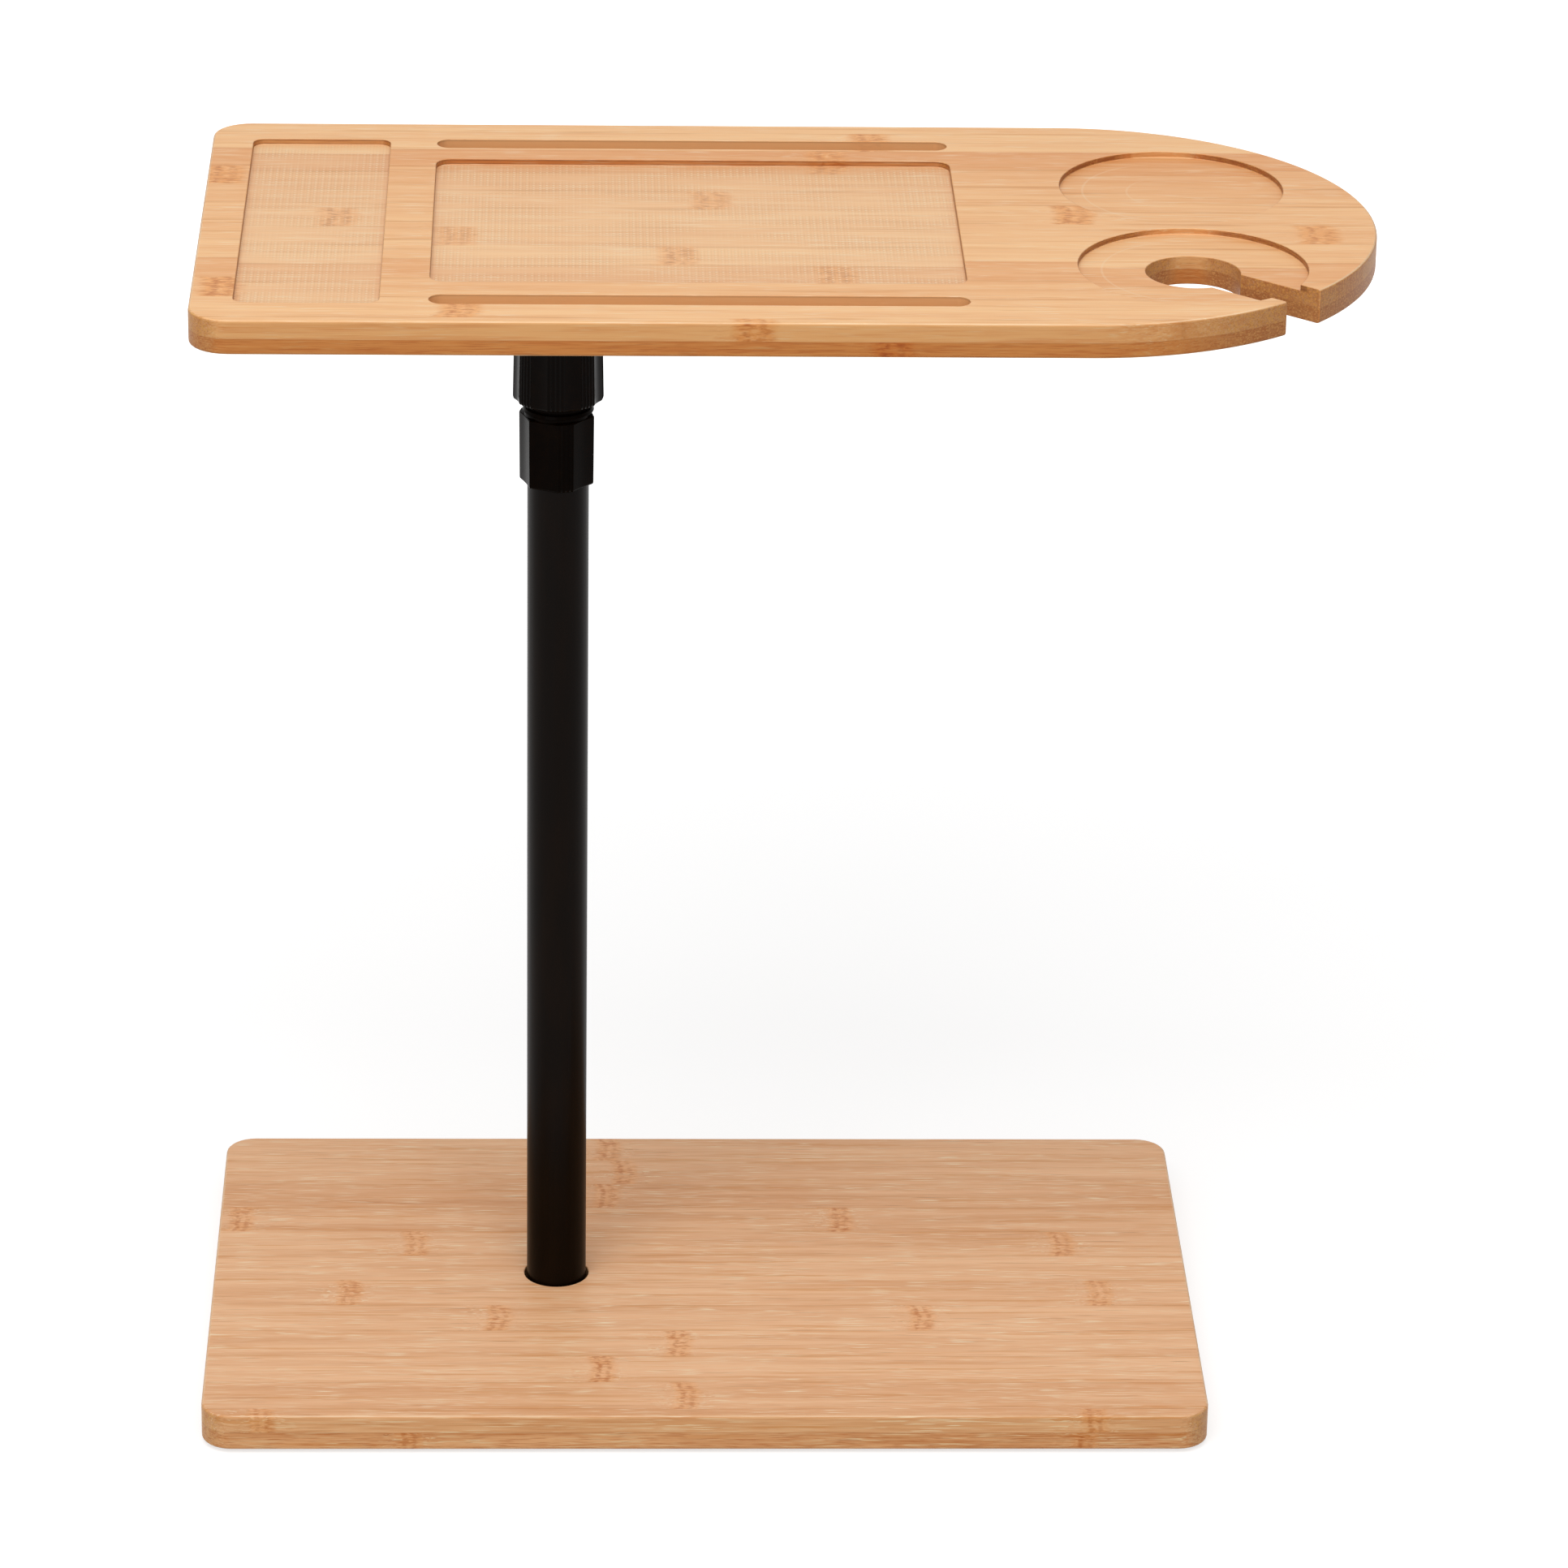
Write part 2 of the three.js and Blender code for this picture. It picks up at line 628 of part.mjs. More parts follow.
// The plate under the tabletop with its boss and stem, top face at local Z = 0
function headFlange() {
  const bossFoot = -FLANGE_THICKNESS - BOSS_HEIGHT;
  const bore = STEM_RADIUS - STEM_WALL;
  const body = turned([
    [0, -FLANGE_THICKNESS],
    [bore, -FLANGE_THICKNESS],
    [bore, bossFoot - STEM_LENGTH],
    [STEM_RADIUS, bossFoot - STEM_LENGTH],
    [STEM_RADIUS, bossFoot],
    [BOSS_RADIUS, bossFoot],
    [BOSS_RADIUS, -FLANGE_THICKNESS],
    [FLANGE_RADIUS, -FLANGE_THICKNESS],
    [FLANGE_RADIUS, 0],
    [0, 0],
  ], FINE_SEGMENTS);
  return surface(withScrewHoles(solid(body), -FLANGE_THICKNESS));
}

const table = new THREE.Group();
const assembly = new THREE.Group();
assembly.position.x = poleX;
table.add(assembly);

// Adds a named piece whose local Z = 0 lies at the given height over the floor
function addPiece(name, geometry, finish, height, x = 0, y = 0) {
  const material = new THREE.MeshStandardMaterial(finish);
  const mesh = new THREE.Mesh(geometry, material);
  mesh.name = name;
  mesh.position.set(x, y, height);
  assembly.add(mesh);
}

function addStand() {
  addPiece('foot_board', footBoard(), BAMBOO_FOOT, footUnderside);
  addPiece('foot_plate', footPlate(), ZINC_STEEL, plateSeat);
  addPiece('foot_bolt', footBolt(), ZINC_STEEL, plateSeat - PLATE_THICKNESS);
  addPiece('tube_plug', tubePlug(), ZINC_STEEL, plateSeat);
  const outer = tube(OUTER_RADIUS, OUTER_RADIUS - OUTER_WALL, 0, outerTop - plateSeat, FINE_SEGMENTS);
  addPiece('outer_tube', outer, BLACK_PAINT, plateSeat);
  addPiece('lock_sleeve', lockSleeve(), WHITE_PLASTIC, lockSleeveShoulder);
  screwPlaces().forEach(([x, y], index) => {
    addPiece(`foot_screw_${index + 1}`, woodScrew(), ZINC_STEEL, plateSeat - PLATE_THICKNESS, x, y);
  });
  const padX = [PAD_INSET - FOOT_OVERHANG, FOOT_LENGTH - FOOT_OVERHANG - PAD_INSET];
  const padY = FOOT_DEPTH / 2 - PAD_INSET;
  const corners = [[padX[0], -padY], [padX[1], -padY], [padX[1], padY], [padX[0], padY]];
  corners.forEach(([x, y], index) => {
    const pad = rod(PAD_RADIUS, -PAD_THICKNESS, 0, HIDDEN_SEGMENTS);
    addPiece(`foot_pad_${index + 1}`, pad, RUBBER, footUnderside, x, y);
  });
}

function addMast() {
  const bore = INNER_RADIUS - INNER_WALL;
  const inner = tube(INNER_RADIUS, bore, 0, innerTop - innerBottom, HIDDEN_SEGMENTS);
  addPiece('inner_tube', inner, BLACK_PAINT, innerBottom);
  addPiece('guide_bush', guideBush(), WHITE_PLASTIC, bushBottom);
  addPiece('head_sleeve', headSleeve(), BLACK_PLASTIC, rimBottom);
}

function addLocks() {
  const lockCollet = collet(INNER_RADIUS + FIT_GAP, LOCK_COLLET_HEIGHT);
  addPiece('lock_collet', lockCollet, WHITE_PLASTIC, lockColletBottom);
  addPiece('height_lock_nut', heightLockNut(), BLACK_PLASTIC, lockBottom);
  const swivelCollet = collet(STEM_RADIUS + FIT_GAP, SWIVEL_COLLET_HEIGHT);
  addPiece('swivel_collet', swivelCollet, WHITE_PLASTIC, headSleeveTop + STACK_GAP);
  addPiece('swivel_lock_nut', swivelLockNut(), BLACK_PLASTIC, swivelBottom);
}

function addTop() {
  addPiece('tabletop', tabletop(), BAMBOO_TOP, topUnderside);
  addPiece('head_flange', headFlange(), BLACK_PAINT, topUnderside);
  screwPlaces().forEach(([x, y], index) => {
    addPiece(`head_screw_${index + 1}`, woodScrew(), ZINC_STEEL, topUnderside - FLANGE_THICKNESS, x, y);
  });
}

addStand();
addMast();
addLocks();
addTop();

export default table;
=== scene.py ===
"""C-shaped side table: bamboo boards, a telescoping black pole and its two twist collars.

Lengths are in metres unless a name ends in _MM or _mm. The finishes work in millimetres throughout.
"""

import json
import math

import bmesh
import bpy
from bpy.props import FloatProperty, FloatVectorProperty, IntProperty, PointerProperty
from mathutils import Matrix, Vector


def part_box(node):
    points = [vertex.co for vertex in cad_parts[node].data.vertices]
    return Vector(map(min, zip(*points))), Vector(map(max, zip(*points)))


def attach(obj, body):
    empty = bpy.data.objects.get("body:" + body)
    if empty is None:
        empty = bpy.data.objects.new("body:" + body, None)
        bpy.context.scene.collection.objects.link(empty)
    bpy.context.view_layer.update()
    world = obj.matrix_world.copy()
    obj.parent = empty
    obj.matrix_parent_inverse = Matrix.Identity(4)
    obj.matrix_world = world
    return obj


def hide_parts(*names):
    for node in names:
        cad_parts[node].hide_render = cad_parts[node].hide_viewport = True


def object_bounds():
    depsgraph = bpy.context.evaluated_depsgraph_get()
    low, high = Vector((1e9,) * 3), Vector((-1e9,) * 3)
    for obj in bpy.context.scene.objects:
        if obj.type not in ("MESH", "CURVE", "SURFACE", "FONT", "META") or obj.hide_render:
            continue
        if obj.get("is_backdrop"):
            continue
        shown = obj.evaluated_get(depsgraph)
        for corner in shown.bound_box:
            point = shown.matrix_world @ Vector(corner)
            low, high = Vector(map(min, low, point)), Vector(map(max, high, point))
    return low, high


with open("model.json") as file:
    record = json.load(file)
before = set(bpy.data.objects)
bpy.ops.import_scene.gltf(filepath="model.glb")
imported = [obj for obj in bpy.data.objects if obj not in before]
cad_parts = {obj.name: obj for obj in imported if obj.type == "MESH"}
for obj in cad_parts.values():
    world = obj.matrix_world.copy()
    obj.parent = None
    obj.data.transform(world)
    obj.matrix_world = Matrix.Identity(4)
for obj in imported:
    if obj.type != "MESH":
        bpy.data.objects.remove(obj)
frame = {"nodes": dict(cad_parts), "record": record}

bl_info = {
    "name": "C-shaped side table",
    "version": (1, 0, 0),
    "blender": (4, 5, 0),
    "location": "3D View > Sidebar > Side table",
    "description": "Builds the looks of a bamboo side table round its packed frame",
    "category": "Object",
}

MILLIMETRE = 0.001
WHITE = (1.0, 1.0, 1.0, 1.0)

# Meshes
WELD_DISTANCE = 1e-5
FLAT_ANGLE = math.radians(0.4)
SMOOTH_ANGLE = math.radians(34)
BEVEL_ANGLE = math.radians(50)
TUBE_SEGMENTS = 96
FOOT_STEPS = 3
FLUTE_ROUNDNESS = 0.7
OUTER_WALL = 0.0015
INNER_WALL = 0.0012
TUBE_ROUNDING = 0.0004
SLEEVE_ROUNDING = 0.0003
FLANGE_ROUNDING = 0.0005
FASTENER_ROUNDING = 0.00015
PAD_ROUNDING = 0.0006
CORNERS = range(1, 5)  # the numbers of a plate's four screws and of the four pads

# Camera and stage; each lamp's row gives its place, where it points and its two sides
IMAGE_WIDTH = 1932
SENSOR_WIDTH = 36.0
CLIP_RANGE = (0.05, 40.0)
FLOOR_DROP = 0.0002
FLOOR_SQUARES = 4
OVERHEAD_LAMP = ((-0.4, -2.2, 3.9), (0.0, 0.0, 0.3), (3.6, 2.6))
FRONT_LAMP = ((-1.7, -3.4, 1.5), (0.0, 0.0, 0.35), (2.2, 1.8))

# Bamboo. A pair of numbers gives where an effect is nil and where it is full, or the other way round.
SIDE_FACING = (0.75, 0.45)
END_FACING = (0.2, 0.55)
UP_FACING = (0.6, 0.9)
ROWS_BEHIND_JOINT = 2.0
CARD_SHIFT = 0.5  # keeps the first knuckles above 0 in the table that the shader reads
JOINT_WANDER_MM = 0.8
STRIP_OFFSET_MM = 283.0
LAYER_OFFSET_STRIPS = 31.0
JOINT_LINE_STRIPS = (0.018, 0.005)
JOINT_GLOW_STRIPS = (0.12, 0.0)
KNUCKLE_BOW_MM = 8.0
KNUCKLE_RIPPLE_MM = 6.0
KNUCKLE_CURL_MM = 3.6
KNUCKLE_HALO_MM = (24.0, 4.0)
KNUCKLE_MIDDLE_MM = 4.0
KNUCKLE_BLOCK_MM = (15.0, 7.0)
KNUCKLE_LINES = ((0.0, 0.75), (8.5, 0.5))  # place in millimetres and strength
KNUCKLE_LINE_MM = (3.4, 0.6)
END_GRAIN_MM = (1.5, 1.25, 1.05)
# Where the painted shade on the end faces grows, from the left end inwards.
END_SHADE_MM = (-280.0, 100.0)
SEAM_MM = (0.5, 0.1)
# Reach of the painted highlight on a board's upper edge, in from the outline and down from the top.
EDGE_HIGHLIGHT_RIM_MM = (-1.5, -0.5)
EDGE_HIGHLIGHT_HEIGHT_MM = (-0.8, -0.2)
WALL_REACH_MM = 4.0
FLOOR_SLACK_MM = 0.2
FLOOR_LEVEL_MM = (0.5, 0.2)
# Heights of the dark lines of scorch and painted shade on the cut walls: under a recess's rim, over its
# floor, and under a groove's rim.
SCORCH_AND_SHADE_TOP_MM = (-1.1, -0.5)
SCORCH_AND_SHADE_FOOT_MM = (0.9, 0.3)
GROOVE_TOP_MM = (-1.4, -0.6)
PALE_FLANK_MM = (12.0, 26.0)
ROUND_RECESSES_MM = (110.0, 111.0)
RING_SIDE_MM = (-4.0, -30.0)

# Boards are glued up from strips. Each row tells of one strip, from the back to the front:
# where along X its first knuckle lies, how far off the next one is, and how dark the strip is.
TOP_STRIPS = (
    (0.350, 0.700, 0.12),
    (0.045, 0.560, 0.10),
    (0.021, 0.540, 0.75),
    (-0.292, 0.620, 0.50),
    (-0.041, 0.530, 0.36),
    (-0.232, 0.377, 0.26),
    (-0.171, 0.439, 0.30),
    (-0.059, 0.560, 0.16),
    (0.020, 0.520, 0.62),
    (-0.286, 0.640, 0.34),
    (-0.168, 0.610, 0.16),
    (-0.023, 0.520, 0.12),
)
FOOT_STRIPS = (
    (-0.089, 0.420, 0.30),
    (-0.080, 0.460, 0.36),
    (-0.090, 0.470, 0.62),
    (-0.292, 0.331, 0.46),
    (-0.195, 0.355, 0.36),
    (0.262, 0.600, 0.28),
    (-0.230, 0.407, 0.34),
    (-0.149, 0.228, 0.26),
    (-0.052, 0.500, 0.32),
    (-0.093, 0.480, 0.24),
    (-0.049, 0.520, 0.44),
    (-0.272, 0.437, 0.50),
)


def property_maker(kind, **fixed):
    """A function that gives a property's kind and options, from its description and its default."""
    return lambda description, default: (kind, {"description": description, "default": default, **fixed})


whole = property_maker(IntProperty, min=1)
decimal = property_maker(FloatProperty)
fraction = property_maker(FloatProperty, subtype="FACTOR", min=0, max=2)
metres = property_maker(FloatProperty, unit="LENGTH", precision=4)
radians = property_maker(FloatProperty, subtype="ANGLE", precision=3)
metres_xyz = property_maker(FloatVectorProperty, subtype="TRANSLATION", precision=4)
linear_rgb = property_maker(FloatVectorProperty, subtype="COLOR", size=3, min=0, max=1)


def screen_rgb(description, *levels):
    """A colour by its levels on a screen, 0 to 255, kept as the linear shares that shaders use."""
    shares = (level / 255 for level in levels)
    return linear_rgb(description, tuple(
        share / 12.92 if share <= 0.04045 else ((share + 0.055) / 1.055) ** 2.4 for share in shares
    ))


def labelled(**rows):
    """A group's properties, each labelled with its own name."""
    return {
        name: kind(name=name.replace("_", " ").capitalize(), **options)
        for name, (kind, options) in rows.items()
    }


class SideTableBoards(bpy.types.PropertyGroup):
    """Sizes and colours that both bamboo boards share"""

    __annotations__ = labelled(
        strip_width=metres("Width of one bamboo strip", 0.0288),
        upper_layer=metres("Thickness of a board's upper layer", 0.0098),
        recess_depth=metres("Depth of the shallow recesses", 0.003),
        mill_pitch=metres("Pitch of the grid milled into the recesses", 0.00171),
        round_radius=metres("Radius of the two round recesses", 0.058),
        ring_pitch=metres("Distance between the cutter's rings", 0.023),
        rim_rounding=metres("Rounding of the cut rims", 0.0004),
        roughness=decimal("Roughness of the lacquer", 0.46),
        amber=screen_rgb("Warm streaks", 222, 150, 82),
        thread=screen_rgb("Thin dark fibres and joints", 164, 98, 50),
        knuckle=screen_rgb("Broken lines of the knuckles", 194, 108, 42),
        warm=screen_rgb("Warm patch round a knuckle", 242, 162, 84),
        fleck=screen_rgb("Pale flecks between the fibres", 255, 228, 190),
        pith=screen_rgb("Pale spots of the end grain", 236, 180, 106),
        # Dark brown of the recess walls: their scorch together with painted shade, also a faint line
        # under the grooves' rims.
        scorch=screen_rgb("Walls of the shallow recesses", 128, 72, 36),
        # Painted light: a paler colour for the groove walls, making up for the shade inside the deep
        # grooves.
        groove=screen_rgb("Walls of the long grooves", 224, 177, 125),
    )


def board_properties(
    first_joint, layer_shift, light, dark, upper_tint, lower_tint, contrast, knuckle_glow, knuckle_size,
    end_darkness,
):
    """The properties that set one bamboo board apart from the other."""
    return labelled(
        first_joint=metres("A joint's place behind the pole", first_joint),
        layer_shift=decimal("Strips that the lower layer is off by", layer_shift),
        light=screen_rgb("Palest strips", *light),
        dark=screen_rgb("Darkest strips", *dark),
        upper_tint=linear_rgb("Tint of the upper layer's sides", upper_tint),
        lower_tint=linear_rgb("Tint of the lower layer's sides", lower_tint),
        contrast=fraction("Strength of the grain", contrast),
        knuckle_glow=fraction("Strength of the warm patches", knuckle_glow),
        knuckle_size=fraction("Width of the knuckles", knuckle_size),
        end_darkness=fraction("Darkness of the end grain", end_darkness),
    )


class SideTableTop(bpy.types.PropertyGroup):
    """The top's bamboo"""

    __annotations__ = board_properties(
        first_joint=0.1115, layer_shift=2.4, light=(255, 203, 146), dark=(232, 157, 95),
        upper_tint=(0.79, 0.68, 0.54), lower_tint=(0.64, 0.42, 0.22), contrast=1.0, knuckle_glow=0.6,
        knuckle_size=0.9, end_darkness=0.4,
    )


class SideTableFoot(bpy.types.PropertyGroup):
    """The foot board's bamboo"""

    __annotations__ = board_properties(
        first_joint=0.105, layer_shift=5.4, light=(250, 198, 152), dark=(222, 158, 107),
        upper_tint=(0.96, 0.93, 0.82), lower_tint=(0.90, 0.81, 0.66), contrast=1.5, knuckle_glow=0.3,
        knuckle_size=0.6, end_darkness=0.24,
    )


class SideTableCollars(bpy.types.PropertyGroup):
    """Sizes of the two twist collars"""

    __annotations__ = labelled(
        flute_depth=metres("Depth of one grip flute", 0.0005),
        flute_points=whole("Facets of one flute", 8),
        land_points=whole("Facets of one land", 10),
        foot_rounding=metres("Rounding of a collar's foot", 0.0015),
        head_chamfer=metres("Chamfer round a collar's head", 0.0004),
        swivel_taper=metres("How far the upper collar narrows upwards", 0.001),
        lock_taper=metres("How far the lower collar widens upwards", 0.00025),
        neck_radius=metres("Radius of the lower collar's neck", 0.0176),
        neck_height=metres("Height of the lower collar's neck", 0.0015),
        stem_bore=metres("Radius of the bore over the stem", 0.0116),
        tube_bore=metres("Radius of the bore over the outer tube", 0.0163),
        thread_bore=metres("Radius of the bore over a thread", 0.0173),
        cone_wide=metres("Radius of a collet's seat at its wide end", 0.0157),
        cone_narrow=metres("Radius of a collet's seat at its narrow end", 0.0146),
        fit_gap=metres("Clearance round a collet", 0.0003),
    )


def grip_properties(groups, flutes, lands, spread, turn, sink):
    """The properties of one collar's grip; spread and turn are in degrees."""
    return labelled(
        groups=whole("Groups of flutes", groups),
        flutes=whole("Flutes in a group", flutes),
        lands=whole("Lands between two groups", lands),
        spread=radians("Angle of one group", math.radians(spread)),
        turn=radians("Angle of a group from the front", math.radians(turn)),
        sink=metres("How far a land's middle lies below a circle", sink),
    )


class SideTableUpperGrip(bpy.types.PropertyGroup):
    """The upper collar's grip"""

    __annotations__ = grip_properties(groups=8, flutes=4, lands=1, spread=22, turn=42, sink=0.001)


class SideTableLowerGrip(bpy.types.PropertyGroup):
    """The lower collar's grip"""

    __annotations__ = grip_properties(groups=3, flutes=4, lands=2, spread=25, turn=12.8, sink=0.002)


class SideTableFinishes(bpy.types.PropertyGroup):
    """Colours of the painted, moulded, plated and rubber pieces"""

    __annotations__ = labelled(
        paint=screen_rgb("Powder coat of the pole", 10, 4, 1),
        plastic=screen_rgb("Moulded collars", 10, 4, 1),
        upper_sheen=fraction("Specular level of the upper collar", 0.036),
        lower_sheen=fraction("Specular level of the lower collar", 0.018),
        zinc=screen_rgb("Plated plate, bolt and screws", 196, 199, 204),
        nylon=screen_rgb("Natural moulded sleeves", 226, 224, 214),
        rubber=screen_rgb("Foot pads", 38, 37, 36),
    )


class SideTableStage(bpy.types.PropertyGroup):
    """Camera, lamps, floor and background"""

    __annotations__ = labelled(
        camera_place=metres_xyz("Where the camera stands", (-0.1116, -3.3431, 1.7799)),
        camera_down=radians("How far the camera looks down", 0.41333),
        camera_right=radians("How far the camera turns right", 0.0345),
        camera_roll=radians("How far the camera leans", -0.01663),
        focal_pixels=decimal("Focal length in pixels of the photograph", 8508.7),
        ambient=decimal("Light from all round", 0.42),
        key_power=decimal("Power of the lamp overhead", 93.0),
        fill_power=decimal("Power of the lamp in front", 16.0),
        floor_size=metres("Side of the floor", 14.0),
        floor_light=fraction("Share of white that the floor shows by itself", 0.68),
        floor_colour=linear_rgb("Colour of the floor", (0.5, 0.5, 0.5)),
        shadow_reach=metres("Past this the floor is plain white", 1.5),
    )


def settings():
    return bpy.context.scene.side_table


def middle(node):
    low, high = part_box(node)
    return (low + high) / 2


def radius_of(node):
    low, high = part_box(node)
    return (high.y - low.y) / 2


def opening_box(name):
    """The lowest and highest corners of an opening that the record states."""
    for opening in frame["record"]["physics"]["openings"]:
        if opening["name"] == name:
            low, high = opening["box_m"]
            return Vector(low), Vector(high)
    raise RuntimeError(f"the record states no opening named {name}")


def show(piece, node, body, finish):
    """Puts a finished piece in place of its CAD node."""
    piece.data.materials.clear()
    piece.data.materials.append(finish)
    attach(piece, body)
    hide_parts(node)


def new_piece(name, shape):
    """An object from a bmesh, smooth but for its sharp edges."""
    mesh = bpy.data.meshes.new(name)
    shape.normal_update()
    shape.to_mesh(mesh)
    shape.free()
    mesh.shade_smooth()
    mesh.set_sharp_from_angle(angle=SMOOTH_ANGLE)
    piece = bpy.data.objects.new(name, mesh)
    bpy.context.scene.collection.objects.link(piece)
    return piece


def round_edges(piece, width, segments=2):
    """Rounds the sharp edges of a piece and keeps its flat faces flat."""
    bevel = piece.modifiers.new("Rounded edges", "BEVEL")
    bevel.width = width
    bevel.segments = segments
    bevel.limit_method = "ANGLE"
    bevel.angle_limit = BEVEL_ANGLE
    bevel.use_clamp_overlap = False
    bevel.harden_normals = True
    weighted = piece.modifiers.new("Flat faces", "WEIGHTED_NORMAL")
    weighted.keep_sharp = True


def merged_copy(node, name):
    """A new object with a CAD node's shape, its doubles merged and its flat faces joined."""
    shape = bmesh.new()
    shape.from_mesh(frame["nodes"][node].data)
    bmesh.ops.remove_doubles(shape, verts=shape.verts, dist=WELD_DISTANCE)
    bmesh.ops.dissolve_limit(
        shape, angle_limit=FLAT_ANGLE, verts=shape.verts, edges=shape.edges, delimit=set()
    )
    return new_piece(name, shape)


def dress(node, name, body, finish, rounding, segments=2):
    """Puts a copy of a CAD node in its place, with its edges rounded."""
    piece = merged_copy(node, name)
    round_edges(piece, rounding, segments)
    show(piece, node, body, finish)


class Nodes:
    """The shader nodes of a material or world, with short names for the ones that they share."""

    def __init__(self, owner):
        owner.use_nodes = True
        self.nodes = owner.node_tree.nodes
        self.links = owner.node_tree.links

    def add(self, kind, **options):
        node = self.nodes.new("ShaderNode" + kind)
        for name, value in options.items():
            setattr(node, name, value)
        return node

    def put(self, socket, value):
        if isinstance(value, bpy.types.NodeSocket):
            self.links.new(value, socket)
        else:
            socket.default_value = value

    def calc(self, operation, *values):
        """The result for one value, or for several taken in turn from the left."""
        total = values[0]
        for value in values[1:] or (None,):
            node = self.add("Math", operation=operation)
            self.put(node.inputs[0], total)
            if value is not None:
                self.put(node.inputs[1], value)
            total = node.outputs[0]
        return total

    def times(self, *values):
        return self.calc("MULTIPLY", *values)

    def plus(self, *values):
        return self.calc("ADD", *values)

    def minus(self, *values):
        return self.calc("SUBTRACT", *values)

    def gap(self, value, other):
        """How far apart two values are."""
        return self.calc("ABSOLUTE", self.minus(value, other))

    def parts(self, vector):
        node = self.add("SeparateXYZ")
        self.put(node.inputs[0], vector)
        return tuple(node.outputs)

    def point(self, x, y, z):
        node = self.add("CombineXYZ")
        for socket, value in zip(node.inputs, (x, y, z)):
            self.put(socket, value)
        return node.outputs[0]

    def length(self, vector):
        node = self.add("VectorMath", operation="LENGTH")
        self.put(node.inputs[0], vector)
        return node.outputs["Value"]

    def between(self, value, low, high, low_result=0.0, high_result=1.0):
        """The value's way from low to high, smooth at both ends."""
        node = self.add("MapRange", interpolation_type="SMOOTHSTEP")
        for name, number in zip(
            ("Value", "From Min", "From Max", "To Min", "To Max"),
            (value, low, high, low_result, high_result),
        ):
            self.put(node.inputs[name], number)
        return node.outputs["Result"]

    def mix(self, share, low, high, mode="MIX"):
        node = self.add("Mix", data_type="RGBA", blend_type=mode)
        self.put(node.inputs["Factor"], share)
        for socket, value in ((node.inputs[6], low), (node.inputs[7], high)):
            self.put(socket, value if isinstance(value, bpy.types.NodeSocket) else (*value, 1.0))
        return node.outputs[2]

    def seen_directly(self):
        """1 for rays from the camera, a reflection or a clear piece, and 0 for light."""
        path = self.add("LightPath")
        rays = ("Is Camera Ray", "Is Glossy Ray", "Is Transmission Ray")
        return self.calc("MAXIMUM", *(path.outputs[name] for name in rays))


class Finish(Nodes):
    """A material in the making. Its patterns lie on the object's own coordinates, in millimetres."""

    def __init__(self, name, specular, roughness=0.5, metallic=0.0):
        self.material = bpy.data.materials.new(name)
        super().__init__(self.material)
        self.shader = self.nodes["Principled BSDF"]
        self.set("Roughness", roughness)
        self.set("Specular IOR Level", specular)
        self.set("Metallic", metallic)
        self.place = self.add("TexCoord")
        scaled = self.add("VectorMath", operation="SCALE")
        self.put(scaled.inputs["Vector"], self.place.outputs["Object"])
        self.put(scaled.inputs["Scale"], 1 / MILLIMETRE)
        self.where_mm = scaled.outputs["Vector"]

    def set(self, name, value):
        self.put(self.shader.inputs[name], value)

    def stretched(self, stretch, where=None):
        """A place divided by the stretch: how long a pattern is along X, across and up."""
        node = self.add("VectorMath", operation="DIVIDE")
        self.put(node.inputs[0], self.where_mm if where is None else where)
        self.put(node.inputs[1], stretch)
        return node.outputs[0]

    def noise(self, stretch, detail=2.0, roughness=0.5, where=None):
        node = self.add("TexNoise")
        self.put(node.inputs["Vector"], self.stretched(stretch, where))
        self.put(node.inputs["Scale"], 1.0)
        self.put(node.inputs["Detail"], detail)
        self.put(node.inputs["Roughness"], roughness)
        return node.outputs["Fac"]

    def patches(self, stretch, low, high, results=(0.0, 1.0), detail=2.0, where=None):
        """Patches where a noise has gone from low to high."""
        return self.between(self.noise(stretch, detail, where=where), low, high, *results)

    def cells(self, stretch):
        """How far a place is from the middle of its cell, and a number of the cell's own."""
        node = self.add("TexVoronoi")
        self.put(node.inputs["Vector"], self.stretched(stretch))
        self.put(node.inputs["Scale"], 1.0)
        return node.outputs["Distance"], self.parts(node.outputs["Color"])[0]

    def mottle(self, colour, factor, share):
        """A base colour that goes over to a paler or darker one by a share."""
        other = tuple(min(1.0, factor * level) for level in colour)
        self.set("Base Color", self.mix(share, colour, other))

    def vary_roughness(self, value, smooth, rough, low=0.2, high=0.8):
        self.set("Roughness", self.between(value, low, high, smooth, rough))

    def bump(self, height, distance_mm):
        node = self.add("Bump")
        self.put(node.inputs["Strength"], 1.0)
        self.put(node.inputs["Distance"], distance_mm * MILLIMETRE)
        self.put(node.inputs["Height"], height)
        self.set("Normal", node.outputs["Normal"])


